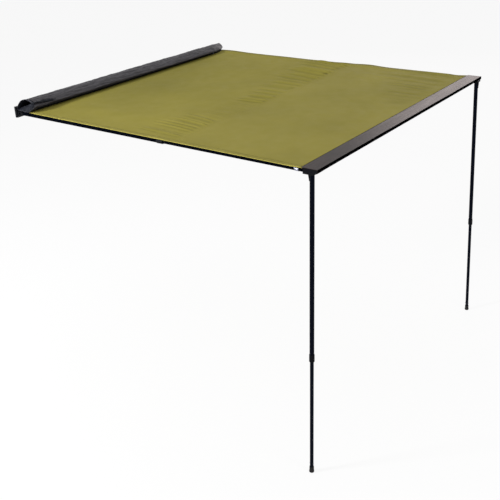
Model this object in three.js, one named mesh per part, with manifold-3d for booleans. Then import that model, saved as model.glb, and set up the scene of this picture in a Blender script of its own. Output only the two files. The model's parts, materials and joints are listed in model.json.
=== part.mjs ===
// Vehicle side awning, open: a rail on the vehicle's side, a bag, a canopy, a front beam, two arms and
// two legs.
// Millimetres, +Z up. X runs along the rail, near end at -X; +Y points at the vehicle.
// The origin is on the back face of the rail, at the middle of its length and of its height.
import * as THREE from 'three';
import { mergeVertices } from 'three/addons/utils/BufferGeometryUtils.js';
import Module from 'manifold-3d';

const wasm = await Module();
wasm.setup();

// Driving dimensions

const awningLength = 2000; // rail and beam, along X
const outreach = 2250; // back of the rail to the front of the beam
const beamHeight = 1760; // ground to the lower edge of the beam
const canopyRise = 9; // canopy plane above the middle of the rail
const legSplay = 2.4; // degrees that each leg leans outwards
const armDroop = 1.1; // degrees that each arm's hinge pin leans, so a released arm swings below the canopy

const gap = { fit: 0.3, turn: 0.5, run: 1 };
const overrun = 6; // how far a cutting shape passes the faces that it cuts
const sides = { tube: 24, rod: 16, fine: 32 };

const rail = {
  height: 70,
  depth: 18,
  slotMouth: 9,
  slotWidth: 16,
  slotDepth: 7,
  slotLip: 2.4,
  slotRise: 22,
  chamberWall: 2,
  chamberTop: 3,
  chamberBottom: -12,
  capThickness: 3,
  capCorner: 3,
};
const keder = { rope: 2.5, groove: 2.8, wall: 1.2, mouth: 3.2 };
const bagGrooveRise = 30.5; // the bag's groove above the middle of the rail

const beam = {
  plate: 2.4,
  rise: 4, // top face above the canopy plane
  lip: 1.8,
  lipDrop: 14.5,
  trim: 2.2,
  trimFoot: 4.2,
  trimDrop: 17,
  ribHeight: 2.4,
  ribWidth: 2,
};
const bracket = {
  length: 56,
  drop: 30.3, // below the plate
  endWall: 3,
  cheek: 4.5,
  frontCheek: 4,
  cradleWall: 7.6, // between the rear leg slot and the arm's cradle
  pinDepth: 3.4,
  cradleDepth: 16,
  shelf: 3,
  shelfReach: 19,
  noseRun: 24,
  noseRise: 14,
  frontRise: 12, // how far the lower edge slopes up towards the beam's front
  pocketRoof: 4,
  screwHead: 3.6,
  screwHeight: 2.4,
  washer: 1,
};

const leg = {
  outer: 25,
  inner: 20.6,
  wall: 1.2,
  outerEnd: 1030,
  innerStart: 735,
  pivotDrop: 22, // hinge pin below the beam's top face
  inset: 28, // hinge pin from the end of the beam
  footHeight: 34,
  footRadius: 14.2,
  footNeck: 12.6,
  footSole: 10,
  footDome: 1.2,
  rivetRise: 55,
  rivetHead: 3.4,
  rivetShank: 1.8,
  rivetHeight: 1.6,
};
const arm = {
  outer: 22,
  inner: 18,
  wall: 1.2,
  outerEnd: 1180,
  overlap: 80,
  drop: 16, // tube axis below the canopy plane
  inset: 15, // tube axis from the end of the rail
  nearPivot: 48, // hinge pin in front of the back of the rail
  pivotPitch: 32, // far arm's pin in front of the near arm's, so both stow side by side
  ferruleBehind: 45, // ferrule's front end behind the tip's end
  ferruleLength: 22,
  ferruleWall: 1.4,
  tipLength: 20,
  tipNose: 5,
  tipTaper: 3,
};
const knuckle = {
  legHead: 13,
  legWidth: 25,
  armHead: 12,
  armWidth: 14,
  pinRadius: 3.5,
  shoulder: 17,
  collarLength: 4,
  plugLength: 30,
  pinHead: 5,
  pinHeadHeight: 1.6,
};
const collar = {
  length: 44,
  wall: 1.6,
  chamfer: 2,
  lip: 3,
  flutes: 10,
  fluteRadius: 1.3,
  fluteDepth: 0.7,
  fluteMargin: 7,
};
const collet = { length: 16, taper: 0.8, slots: 3, slotWidth: 1.6 };
const bush = { flange: 14, plug: 16 };
const fork = {
  plate: 4,
  radius: 12.5,
  webBehind: 16,
  baseThickness: 4,
  baseInward: 44,
  baseOutward: 12.5,
  baseBelow: 17,
  screwRadius: 3.8,
  screwHeight: 2.4,
  screwInward: 33,
  screwPitch: 12,
  washer: 1,
};

const canopy = {
  thickness: 2.4,
  sideGap: 2, // canopy's edge inside the end of the beam
  rearInset: 24, // how far each side draws in on its way to the rail, clear of the arm's bracket
  columns: 26,
  rows: 22,
  foldHeight: 9,
  edgeShare: 0.05,
};
const hem = { width: 26, thickness: 1.2 };
const bag = {
  wall: 2,
  endGap: 2,
  mouthSet: 28, // how far the bag's front edge lies inside its back edge at the open end
  farTaper: 170, // length over which the bag draws in to its closed far end
  farRound: 22,
  rimWidth: 9,
  rimThickness: 1.6,
  top: 75, // crown above the canopy's upper face
  reach: 157, // front of the bag from the back of the rail
  floor: 4,
  around: 30,
  flangeThickness: 2.2,
};
const zip = {
  tapeThickness: 1.4,
  outShare: 0.91,
  upShare: 0.14,
  sliderLength: 14,
  sliderWidth: 8,
  sliderHeight: 3.4,
  sliderInset: 12,
  pullLength: 34,
  pullWidth: 7,
  pullThickness: 1.6,
};

// Shared places, worked out from the sizes above

const half = awningLength / 2;
const beamFront = -outreach;
const plateTop = canopyRise + beam.rise;
const plateUnder = plateTop - beam.plate;
const lipFront = beamFront + beam.trim + gap.fit;
const lipBack = lipFront + beam.lip;
const groundLevel = plateTop - beam.trimDrop - beamHeight;
const grooveOuter = keder.groove + keder.wall;
const legSlot = knuckle.legWidth / 2 + gap.turn; // half the width of the slot that a leg folds in
const collarRadius = leg.outer / 2 + gap.turn + collar.wall;
const frontLegY = lipBack + gap.fit + bracket.frontCheek + legSlot;
const rearLegY = frontLegY + leg.outer / 2 + collarRadius + gap.run; // so that both legs fold in side by side
const cradleFront = rearLegY + legSlot + bracket.cradleWall;
const bracketBack = cradleFront + bracket.cradleDepth;
const frontGrooveY = bracketBack + gap.fit + grooveOuter;
const beamBack = frontGrooveY + grooveOuter;
const rearGrooveY = -rail.depth + keder.wall + keder.groove;
const armLevel = canopyRise - arm.drop;
const armX = half - arm.inset;
const tipEnd = cradleFront + gap.fit;
const pivotLevel = plateTop - leg.pivotDrop;
const legX = half - leg.inset;
const legLength = (pivotLevel - groundLevel) / Math.cos(THREE.MathUtils.degToRad(legSplay));
const canopyTop = canopyRise + canopy.thickness / 2;

const ends = [
  {
    name: 'near',
    side: -1,
    legY: rearLegY,
    armY: -arm.nearPivot,
  },
  {
    name: 'far',
    side: 1,
    legY: frontLegY,
    armY: -arm.nearPivot - arm.pivotPitch,
  },
];

// Materials

const finish = (color, roughness, metalness) =>
  new THREE.MeshStandardMaterial({ color, roughness, metalness });
const finishes = {
  railMetal: finish(0x1f2023, 0.45, 0.8),
  beamMetal: finish(0x6e6864, 0.4, 0.8),
  tubeMetal: finish(0x14161c, 0.35, 0.7),
  brightMetal: finish(0xc9ccd2, 0.25, 1),
  moulding: finish(0x15161a, 0.6, 0),
  trim: finish(0x0d0e11, 0.5, 0),
  rubber: finish(0x111214, 0.85, 0),
  canopyCloth: finish(0x8a8349, 0.85, 0),
  hemCloth: finish(0x9c9448, 0.85, 0),
  bagCloth: finish(0x46454a, 0.6, 0),
  bindingCloth: finish(0x1c1c20, 0.8, 0),
  rope: finish(0x7d773f, 0.9, 0),
};

// Helpers for solids

function solid(geometry) {
  const bare = geometry.clone();
  bare.deleteAttribute('normal');
  bare.deleteAttribute('uv');
  const merged = mergeVertices(bare);
  const corners = [];
  for (let i = 0; i < merged.index.count; i += 3) {
    const [a, b, c] = [0, 1, 2].map((k) => merged.index.getX(i + k));
    if (a !== b && b !== c && c !== a) {
      corners.push(a, b, c);
    }
  }
  const vertProperties = new Float32Array(merged.attributes.position.array);
  const mesh = new wasm.Mesh({ numProp: 3, vertProperties, triVerts: new Uint32Array(corners) });
  return new wasm.Manifold(mesh);
}

function shown(body) {
  const mesh = body.getMesh();
  const geometry = new THREE.BufferGeometry();
  geometry.setAttribute('position', new THREE.BufferAttribute(new Float32Array(mesh.vertProperties), 3));
  geometry.setIndex(new THREE.BufferAttribute(new Uint32Array(mesh.triVerts), 1));
  geometry.computeVertexNormals();
  return geometry;
}

function cut(base, cutters) {
  let body = solid(base);
  for (const cutter of cutters) {
    body = body.subtract(solid(cutter));
  }
  return shown(body);
}

function join(pieces) {
  let body = solid(pieces[0]);
  for (const piece of pieces.slice(1)) {
    body = body.add(solid(piece));
  }
  return shown(body);
}

function block(x0, x1, y0, y1, z0, z1) {
  const geometry = new THREE.BoxGeometry(x1 - x0, y1 - y0, z1 - z0);
  geometry.translate((x0 + x1) / 2, (y0 + y1) / 2, (z0 + z1) / 2);
  return geometry;
}

function rodX(radius, x0, x1, y, z, count = sides.rod) {
  const geometry = new THREE.CylinderGeometry(radius, radius, x1 - x0, count);
  geometry.rotateZ(Math.PI / 2);
  geometry.translate((x0 + x1) / 2, y, z);
  return geometry;
}

function rodY(radius, y0, y1, x, z, count = sides.rod) {
  const geometry = new THREE.CylinderGeometry(radius, radius, y1 - y0, count);
  geometry.translate(x, (y0 + y1) / 2, z);
  return geometry;
}

function rodZ(radius, z0, z1, x, y, count = sides.rod) {
  const geometry = new THREE.CylinderGeometry(radius, radius, z1 - z0, count);
  geometry.rotateX(Math.PI / 2);
  geometry.translate(x, y, (z0 + z1) / 2);
  return geometry;
}

// A turned solid round Z from points of radius and depth; depth runs along -Z
function turned(points, count = sides.tube) {
  const profile = points.map(([radius, depth]) => new THREE.Vector2(radius, -depth));
  const geometry = new THREE.LatheGeometry(profile, count);
  geometry.rotateX(Math.PI / 2);
  geometry.rotateZ(Math.PI / count);
  if (solid(geometry).volume() < 0) {
    const index = geometry.index.array;
    for (let i = 0; i < index.length; i += 3) {
      [index[i], index[i + 1]] = [index[i + 1], index[i]];
    }
  }
  return shown(solid(geometry));
}

function ring(outer, inner, from, to, count = sides.tube) {
  return turned([[inner, from], [outer, from], [outer, to], [inner, to], [inner, from]], count);
}

// An outline of (y, z) points, extruded along X
function alongX(points, x0, x1) {
  const shape = new THREE.Shape(points.map(([y, z]) => new THREE.Vector2(y, z)));
  const geometry = new THREE.ExtrudeGeometry(shape, { depth: x1 - x0, bevelEnabled: false });
  geometry.applyMatrix4(new THREE.Matrix4().set(0, 0, 1, x0, 1, 0, 0, 0, 0, 1, 0, 0, 0, 0, 0, 1));
  return geometry;
}

// An outline of (x, z) points, extruded along Y
function alongY(points, y0, y1) {
  const shape = new THREE.Shape(points.map(([x, z]) => new THREE.Vector2(x, z)));
  const geometry = new THREE.ExtrudeGeometry(shape, { depth: y1 - y0, bevelEnabled: false });
  geometry.rotateX(Math.PI / 2);
  geometry.translate(0, y1, 0);
  return geometry;
}

function piece(name, geometry, material, parent) {
  const mesh = new THREE.Mesh(geometry, material);
  mesh.name = name;
  parent.add(mesh);
  return mesh;
}

// Rear rail: an extrusion with two T-slots in its back and a keder groove for the canopy and one for the bag

function slotCutters(level) {
  const mouth = rail.slotMouth / 2;
  const width = rail.slotWidth / 2;
  const inner = -rail.slotLip - rail.slotDepth;
  return [
    block(-half - overrun, half + overrun, -rail.slotLip - gap.fit, overrun, level - mouth, level + mouth),
    block(-half - overrun, half + overrun, inner, -rail.slotLip, level - width, level + width),
  ];
}

function grooveCutters(y, z, outward) {
  const mouthEnd = y + outward * (grooveOuter + overrun);
  const [y0, y1] = outward < 0 ? [mouthEnd, y] : [y, mouthEnd];
  return [
    rodX(keder.groove, -half - overrun, half + overrun, y, z),
    block(-half - overrun, half + overrun, y0, y1, z - keder.mouth / 2, z + keder.mouth / 2),
  ];
}

function rearRail(parent) {
  const chamber = block(
    -half - overrun,
    half + overrun,
    -rail.depth + rail.chamberWall,
    -rail.chamberWall,
    rail.chamberBottom,
    rail.chamberTop,
  );
  const bar = block(-half, half, -rail.depth, 0, -rail.height / 2, rail.height / 2);
  const body = cut(bar, [
    chamber,
    ...slotCutters(rail.slotRise),
    ...slotCutters(-rail.slotRise),
    ...grooveCutters(rearGrooveY, canopyRise, -1),
    ...grooveCutters(rearGrooveY, bagGrooveRise, -1),
  ]);
  piece('rear_rail', body, finishes.railMetal, parent);
}

function railCap(end, parent) {
  const low = -rail.height / 2;
  const high = rail.height / 2;
  const corner = rail.capCorner;
  const outline = [
    [0, low],
    [0, high],
    [-rail.depth + corner, high],
    [-rail.depth, high - corner],
    [-rail.depth, low + corner],
    [-rail.depth + corner, low],
  ];
  const inner = half + gap.fit;
  const outer = inner + rail.capThickness;
  const [x0, x1] = end.side < 0 ? [-outer, -inner] : [inner, outer];
  piece(`${end.name}_rail_cap`, alongX(outline, x0, x1), finishes.moulding, parent);
}

// Front beam: a wide flat plate with a lip in front, a keder groove behind and two ribs under it

function frontBeam(parent) {
  const grooveBody = rodX(grooveOuter, -half, half, frontGrooveY, plateTop - grooveOuter);
  const plate = block(-half, half, lipFront, frontGrooveY, plateUnder, plateTop);
  const lip = block(-half, half, lipFront, lipBack, plateTop - beam.lipDrop, plateTop);
  const ribStart = half - bracket.length - gap.run;
  const low = plateUnder - beam.ribHeight;
  const ribs = [lipBack + legSlot / 2, (frontLegY + rearLegY) / 2, rearLegY + legSlot].map((y) =>
    block(-ribStart, ribStart, y - beam.ribWidth / 2, y + beam.ribWidth / 2, low, plateTop - beam.plate / 2),
  );
  const whole = join([plate, lip, grooveBody, ...ribs]);
  const body = cut(whole, grooveCutters(frontGrooveY, plateTop - grooveOuter, 1));
  piece('front_beam', body, finishes.beamMetal, parent);

  const top = plateTop;
  const foot = plateTop - beam.trimDrop;
  const lipFoot = plateTop - beam.lipDrop - gap.fit;
  const outline = [
    [beamFront, foot],
    [beamFront + beam.trimFoot, foot],
    [beamFront + beam.trimFoot, lipFoot],
    [lipFront - gap.fit, lipFoot],
    [lipFront - gap.fit, top],
    [beamFront, top],
  ];
  piece('beam_edge_trim', alongX(outline, -half, half), finishes.trim, parent);
}

// Corner bracket: holds the leg's hinge between two cheeks and the arm's tip in a cradle

function cornerBracket(end, parent) {
  const face = lipBack + gap.fit;
  const slotFront = end.legY - legSlot;
  const slotBack = end.legY + legSlot;
  const top = plateUnder - gap.fit;
  const low = top - bracket.drop;
  const roof = pivotLevel + knuckle.legHead + gap.run;
  const shelfTop = armLevel - arm.inner / 2 - gap.fit;
  const from = (inward) => end.side * (half - inward);
  const bar = (u0, u1, y0, y1, z0, z1) => {
    const [x0, x1] = [from(u0), from(u1)].sort((a, b) => a - b);
    return block(x0, x1, y0, y1, z0, z1);
  };
  const inside = bracket.length + overrun;
  const behind = bracketBack + overrun;
  const cutters = [
    bar(leg.inset - knuckle.legHead - gap.run, inside, slotFront, slotBack, low - overrun, roof),
    bar(bracket.endWall, inside, cradleFront, behind, shelfTop, roof),
    bar(bracket.endWall + bracket.shelfReach, inside, cradleFront, behind, low - overrun, roof),
    rodY(
      knuckle.pinRadius + gap.fit,
      slotFront - bracket.cheek - overrun,
      slotBack + bracket.pinDepth + gap.fit,
      end.side * legX,
      pivotLevel,
    ),
  ];
  const pockets = [[face, slotFront], [slotBack, cradleFront]].filter(([a, b]) => b - a > 3 * bracket.cheek);
  for (const [y0, y1] of pockets) {
    const pocketTop = top - bracket.pocketRoof;
    const [front, rear] = [y0 + bracket.cheek, y1 - bracket.cheek];
    cutters.push(bar(bracket.endWall, bracket.length - bracket.cheek, front, rear, low - overrun, pocketTop));
  }
  const nose = [
    [from(bracket.length - bracket.noseRun), low - overrun],
    [from(bracket.length - bracket.noseRun), low],
    [from(bracket.length), low + bracket.noseRise],
    [from(inside), low + bracket.noseRise],
    [from(inside), low - overrun],
  ];
  cutters.push(alongY(end.side < 0 ? nose : nose.reverse(), face - overrun, bracketBack + overrun));
  const chinBack = slotFront - bracket.cheek;
  if (chinBack > face) {
    const chin = [
      [face - overrun, low - overrun],
      [chinBack, low - overrun],
      [chinBack, low],
      [face, low + bracket.frontRise],
      [face - overrun, low + bracket.frontRise],
    ];
    cutters.push(alongX(chin, -half - overrun, half + overrun));
  }
  const body = cut(bar(0, bracket.length, face, bracketBack, low, top), cutters);
  piece(`${end.name}_corner_bracket`, body, finishes.moulding, parent);

  const plateHigh = top - bracket.pocketRoof - gap.fit;
  const plateLow = plateHigh - bracket.washer;
  const [y0, y1] = pockets[0];
  const margin = bracket.cheek + gap.run;
  const washer = bar(
    bracket.endWall + gap.run,
    bracket.length - margin,
    y0 + margin,
    y1 - margin,
    plateLow,
    plateHigh,
  );
  const heads = [bracket.length / 3, (2 * bracket.length) / 3].map((inward) =>
    rodZ(bracket.screwHead, plateLow - bracket.screwHeight, plateLow + gap.fit, from(inward), (y0 + y1) / 2),
  );
  piece(`${end.name}_corner_screws`, join([washer, ...heads]), finishes.brightMetal, parent);
}

// Telescope: built along -Z from a hinge at the origin whose axis is Y

function knuckleBody(size) {
  const tube = size.outer / 2;
  const plug = tube - size.wall - gap.fit;
  const collarEnd = knuckle.shoulder + knuckle.collarLength;
  const body = join([
    rodY(size.head, -size.width / 2, size.width / 2, 0, 0, sides.tube),
    block(-size.head, size.head, -size.width / 2, size.width / 2, -knuckle.shoulder, 0),
    turned([[0, 0], [tube, 0], [tube, collarEnd], [0, collarEnd]]),
    turned([[0, 0], [plug, 0], [plug, collarEnd + knuckle.plugLength], [0, collarEnd + knuckle.plugLength]]),
  ]);
  const aside = size.head + overrun;
  const clear = block(-aside, aside, size.width / 2, tube + overrun, -knuckle.shoulder, tube + overrun);
  const clearBelow = clear.clone().rotateZ(Math.PI);
  const bore = rodY(knuckle.pinRadius + gap.fit, -tube - overrun, tube + overrun, 0, 0, sides.tube);
  return cut(body, [bore, clear, clearBelow]);
}

function twistCollar(size) {
  const seat = size.outer / 2 + gap.turn;
  const outer = seat + collar.wall;
  const from = size.outerEnd - collar.length / 2;
  const to = size.outerEnd + collar.length / 2;
  const mouth = size.inner / 2 + gap.turn;
  const sleeve = turned([
    [seat, from],
    [outer - collar.chamfer / 2, from],
    [outer, from + collar.chamfer],
    [outer, to - collar.chamfer],
    [outer - collar.chamfer, to],
    [mouth, to],
    [mouth, to - collar.lip],
    [seat, to - collar.lip],
    [seat, from],
  ]);
  const flutes = Array.from({ length: collar.flutes }, (_, i) => {
    const turn = (2 * Math.PI * i) / collar.flutes;
    const reach = outer + collar.fluteRadius - collar.fluteDepth;
    const flute = rodZ(collar.fluteRadius, -to + collar.fluteMargin, -from - collar.fluteMargin, 0, 0, 8);
    return flute.translate(reach * Math.cos(turn), reach * Math.sin(turn), 0);
  });
  return cut(sleeve, flutes);
}

function colletBody(size) {
  const from = size.outerEnd + gap.fit;
  const to = from + collet.length;
  const inner = size.inner / 2 + gap.fit;
  const outer = size.outer / 2;
  const body = turned([
    [inner, from],
    [outer, from],
    [outer, (from + to) / 2],
    [outer - collet.taper, to],
    [inner, to],
    [inner, from],
  ]);
  const slitHalf = collet.slotWidth / 2;
  const slits = Array.from({ length: collet.slots }, (_, i) => {
    const slit = block(-outer, outer, -slitHalf, slitHalf, -to - overrun, -(from + to) / 2);
    return slit.rotateZ((Math.PI * i) / collet.slots);
  });
  return cut(body, slits);
}

function guideBush(size) {
  const flange = size.outer / 2 - size.wall - gap.fit;
  const plug = size.inner / 2 - size.wall - gap.fit;
  const seat = size.innerStart - gap.fit;
  return turned([
    [0, seat - bush.flange],
    [flange, seat - bush.flange],
    [flange, seat],
    [plug, seat],
    [plug, seat + bush.plug],
    [0, seat + bush.plug],
  ]);
}

function telescope(name, size, parent) {
  const collarEnd = knuckle.shoulder + knuckle.collarLength;
  const outer = ring(size.outer / 2, size.outer / 2 - size.wall, collarEnd + gap.fit, size.outerEnd);
  const inner = ring(size.inner / 2, size.inner / 2 - size.wall, size.innerStart, size.innerEnd);
  piece(`${name}_knuckle`, knuckleBody(size), finishes.moulding, parent);
  piece(`${name}_outer_tube`, outer, finishes.tubeMetal, parent);
  piece(`${name}_twist_collar`, twistCollar(size), finishes.moulding, parent);
  piece(`${name}_collet`, colletBody(size), finishes.moulding, parent);
  piece(`${name}_guide_bush`, guideBush(size), finishes.moulding, parent);
  return inner;
}

// Leg: a telescope that hangs from its corner bracket, with a rubber foot and a cross rivet

function legFoot(size) {
  const end = legLength;
  const seat = size.inner / 2 + gap.fit;
  return turned([
    [seat, end - leg.footHeight],
    [leg.footNeck, end - leg.footHeight],
    [leg.footNeck, end - leg.footHeight / 2],
    [leg.footRadius, end - leg.footDome * 2],
    [leg.footRadius - leg.footDome, end],
    [0, end],
    [0, end - leg.footSole],
    [seat, end - leg.footSole],
    [seat, end - leg.footHeight],
  ]);
}

function foldingLeg(end, parent) {
  const size = {
    outer: leg.outer,
    inner: leg.inner,
    wall: leg.wall,
    head: knuckle.legHead,
    width: knuckle.legWidth,
    outerEnd: leg.outerEnd,
    innerStart: leg.innerStart,
    innerEnd: legLength - leg.footSole - gap.fit,
  };
  const group = new THREE.Group();
  group.position.set(end.side * legX, end.legY, pivotLevel);
  group.rotation.y = -end.side * THREE.MathUtils.degToRad(legSplay);
  parent.add(group);

  const tube = telescope(`${end.name}_leg`, size, group);
  const rivetDepth = legLength - leg.rivetRise;
  const reach = size.inner / 2;
  const hole = rodY(leg.rivetShank + gap.fit, -reach - overrun, reach + overrun, 0, -rivetDepth);
  piece(`${end.name}_leg_inner_tube`, cut(tube, [hole]), finishes.tubeMetal, group);
  piece(`${end.name}_leg_foot`, legFoot(size), finishes.rubber, group);
  const seat = reach + gap.fit;
  const rivet = join([
    rodY(leg.rivetShank, -seat - leg.rivetHeight / 2, seat + leg.rivetHeight / 2, 0, -rivetDepth),
    rodY(leg.rivetHead, seat, seat + leg.rivetHeight, 0, -rivetDepth),
    rodY(leg.rivetHead, -seat - leg.rivetHeight, -seat, 0, -rivetDepth),
  ]);
  piece(`${end.name}_leg_rivet`, rivet, finishes.brightMetal, group);

  const pinFront = Math.max(end.legY - legSlot - bracket.cheek, lipBack + gap.fit);
  const pinBack = end.legY + legSlot + bracket.pinDepth;
  const x = end.side * legX;
  const pin = rodY(knuckle.pinRadius, pinFront, pinBack, x, pivotLevel);
  piece(`${end.name}_leg_pin`, pin, finishes.brightMetal, parent);
}

// Arm: a telescope that swings in from a fork on the rail; its tip lies in the corner bracket's cradle

function armFork(end, reach) {
  const level = knuckle.armWidth / 2 + gap.turn;
  const outer = level + fork.plate;
  const back = reach - rail.depth - gap.fit;
  const plate = (z0, z1) =>
    join([
      rodZ(fork.radius, z0, z1, 0, 0, sides.tube),
      block(-fork.radius, fork.radius, 0, back, z0, z1),
    ]);
  const inward = -end.side * fork.baseInward;
  const outward = end.side * fork.baseOutward;
  const base = block(
    Math.min(inward, outward),
    Math.max(inward, outward),
    back - fork.baseThickness,
    back,
    -fork.baseBelow,
    outer,
  );
  const web = block(-fork.radius, fork.radius, fork.webBehind, back, -outer, outer);
  const bore = rodZ(knuckle.pinRadius + gap.fit, -outer - overrun, outer + overrun, 0, 0);
  return cut(join([plate(level, outer), plate(-outer, -level), web, base]), [bore]);
}

function swingingArm(end, parent) {
  const armReach = end.armY - tipEnd;
  const size = {
    outer: arm.outer,
    inner: arm.inner,
    wall: arm.wall,
    head: knuckle.armHead,
    width: knuckle.armWidth,
    outerEnd: arm.outerEnd,
    innerStart: arm.outerEnd - arm.overlap,
    innerEnd: armReach - arm.tipLength - gap.fit,
  };
  const lean = new THREE.Group();
  lean.position.set(end.side * armX, end.armY, armLevel);
  lean.rotation.y = -end.side * THREE.MathUtils.degToRad(armDroop);
  parent.add(lean);
  piece(`${end.name}_arm_bracket`, armFork(end, -end.armY), finishes.moulding, lean);

  const level = knuckle.armWidth / 2 + gap.turn + fork.plate;
  const pin = join([
    rodZ(knuckle.pinRadius, -level - gap.run, level, 0, 0),
    rodZ(knuckle.pinHead, -level - gap.fit - knuckle.pinHeadHeight, -level - gap.fit, 0, 0),
  ]);
  piece(`${end.name}_arm_pin`, pin, finishes.brightMetal, lean);

  const group = new THREE.Group();
  group.rotation.x = -Math.PI / 2;
  lean.add(group);
  const tube = telescope(`${end.name}_arm`, size, group);
  piece(`${end.name}_arm_inner_tube`, tube, finishes.tubeMetal, group);

  const ferruleEnd = armReach - arm.ferruleBehind;
  const seat = size.inner / 2 + gap.fit;
  const ferrule = ring(seat + arm.ferruleWall, seat, ferruleEnd - arm.ferruleLength, ferruleEnd);
  piece(`${end.name}_arm_ferrule`, ferrule, finishes.brightMetal, group);

  const plug = size.inner / 2 - size.wall - gap.fit;
  const tip = turned([
    [0, armReach - 2 * arm.tipLength],
    [plug, armReach - 2 * arm.tipLength],
    [plug, armReach - arm.tipLength],
    [size.inner / 2, armReach - arm.tipLength],
    [size.inner / 2, armReach - arm.tipNose],
    [size.inner / 2 - arm.tipTaper, armReach],
    [0, armReach],
  ]);
  piece(`${end.name}_arm_tip`, tip, finishes.moulding, group);
}

function armScrews(end, parent) {
  const x = end.side * (armX - fork.screwInward);
  const face = -rail.depth - gap.fit - fork.baseThickness - gap.fit;
  const washerFace = face - fork.washer;
  const level = (way) => armLevel + (way * fork.screwPitch) / 2;
  const radius = fork.screwRadius;
  const headFace = washerFace - fork.screwHeight;
  const heads = [-1, 1].map((way) => rodY(radius, headFace, washerFace + gap.fit, x, level(way)));
  const edge = radius + gap.run;
  const washer = block(x - edge, x + edge, washerFace, face, level(-1) - edge, level(1) + edge);
  piece(`${end.name}_arm_screws`, join([washer, ...heads]), finishes.brightMetal, parent);
}

// Canopy: one sheet with its main folds, which rise from the stretched plane and die out at the edges

function foldLift(u, v) {
  const edge = Math.min(u, 1 - u, v, 1 - v) / canopy.edgeShare;
  const calm = THREE.MathUtils.smoothstep(edge, 1, 3);
  const across = Math.sin(2 * Math.PI * (3.1 * u + 1.3 * v));
  const along = Math.sin(2 * Math.PI * (1.4 * u - 2.6 * v) + 1);
  return calm * canopy.foldHeight * 0.25 * (across + along + 2);
}

function sheet(halfWidth, y0, y1, level, thickness, columns, rows, lift) {
  const positions = [];
  const faces = [];
  const at = (i, j, under) => (under ? 1 : 0) * (columns + 1) * (rows + 1) + j * (columns + 1) + i;
  for (const under of [false, true]) {
    for (let j = 0; j <= rows; j += 1) {
      for (let i = 0; i <= columns; i += 1) {
        const u = i / columns;
        const v = j / rows;
        const z = level + lift(u, v) + (under ? -thickness / 2 : thickness / 2);
        positions.push((2 * u - 1) * halfWidth(v), y0 + v * (y1 - y0), z);
      }
    }
  }
  const quad = (a, b, c, d) => faces.push(a, b, c, a, c, d);
  for (let j = 0; j < rows; j += 1) {
    for (let i = 0; i < columns; i += 1) {
      quad(at(i, j, false), at(i + 1, j, false), at(i + 1, j + 1, false), at(i, j + 1, false));
      quad(at(i, j + 1, true), at(i + 1, j + 1, true), at(i + 1, j, true), at(i, j, true));
    }
  }
  for (let i = 0; i < columns; i += 1) {
    quad(at(i, 0, true), at(i + 1, 0, true), at(i + 1, 0, false), at(i, 0, false));
    quad(at(i, rows, false), at(i + 1, rows, false), at(i + 1, rows, true), at(i, rows, true));
  }
  for (let j = 0; j < rows; j += 1) {
    quad(at(0, j + 1, true), at(0, j, true), at(0, j, false), at(0, j + 1, false));
    quad(at(columns, j, true), at(columns, j + 1, true), at(columns, j + 1, false), at(columns, j, false));
  }
  const geometry = new THREE.BufferGeometry();
  geometry.setAttribute('position', new THREE.Float32BufferAttribute(positions, 3));
  geometry.setIndex(faces);
  geometry.computeVertexNormals();
  return geometry;
}

function canopyCloth(parent) {
  const edge = half - canopy.sideGap;
  const front = frontGrooveY + keder.rope + gap.fit;
  const rear = rearGrooveY - keder.rope - gap.fit;
  const { thickness, columns, rows, rearInset } = canopy;
  const halfWidth = (v) => edge - rearInset * v;
  const body = sheet(halfWidth, front, rear, canopyRise, thickness, columns, rows, foldLift);
  piece('canopy', body, finishes.canopyCloth, parent);
  const frontRope = rodX(keder.rope, -half, half, frontGrooveY, plateTop - grooveOuter, sides.rod);
  const rearRope = rodX(keder.rope, -half, half, rearGrooveY, canopyRise, sides.rod);
  piece('canopy_front_keder', frontRope, finishes.rope, parent);
  piece('canopy_rear_keder', rearRope, finishes.rope, parent);
  const slope = rearInset / (rear - front);
  for (const end of ends) {
    const drawIn = new THREE.Matrix4().makeShear(0, 0, -end.side * slope, 0, 0, 0);
    drawIn.setPosition(end.side * slope * front, 0, 0);
    canopyHem(end, edge, beamBack + gap.run, -rail.depth - gap.run, drawIn, parent);
  }
}

function canopyHem(end, edge, front, rear, drawIn, parent) {
  const under = canopyTop + gap.fit;
  const over = under + hem.thickness;
  const low = armLevel + arm.outer / 2 + gap.turn + collar.wall + gap.run; // just above the arm's collar
  const inner = edge + gap.fit;
  const outer = inner + hem.thickness;
  const outline = [
    [outer - hem.width, under],
    [inner, under],
    [inner, low],
    [outer, low],
    [outer, over],
    [outer - hem.width, over],
  ].map(([x, z]) => [end.side * x, z]);
  const body = alongY(end.side < 0 ? outline.reverse() : outline, front, rear).applyMatrix4(drawIn);
  piece(`${end.name}_canopy_hem`, body, finishes.hemCloth, parent);
}

// Bag: a soft tube on the rail, open at the near end, closed and rounded at the far end

const bagFloor = canopyTop + bag.floor;
const bagOutlineShares = [
  [0.145, 0.1],
  [0.19, 0.42],
  [0.36, 0.82],
  [0.62, 1],
  [0.86, 0.88],
  [0.995, 0.56],
  [0.96, 0.28],
  [0.83, 0.04],
  [0.5, 0],
  [0.2, 0],
];

function bagSection(inset) {
  const points = bagOutlineShares.map(
    ([out, up]) => new THREE.Vector3(-bag.reach * out, 0, bagFloor + (bag.top - bag.floor) * up),
  );
  const curve = new THREE.CatmullRomCurve3(points, true, 'centripetal');
  const outer = curve.getSpacedPoints(bag.around).slice(0, bag.around);
  outer.forEach((point) => point.setZ(Math.max(point.z, bagFloor)));
  if (inset === 0) {
    return outer;
  }
  return outer.map((point, i) => {
    const before = outer[(i + bag.around - 1) % bag.around];
    const after = outer[(i + 1) % bag.around];
    const inward = new THREE.Vector3(before.z - after.z, 0, after.x - before.x).normalize();
    return point.clone().addScaledVector(inward, inset);
  });
}

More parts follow.
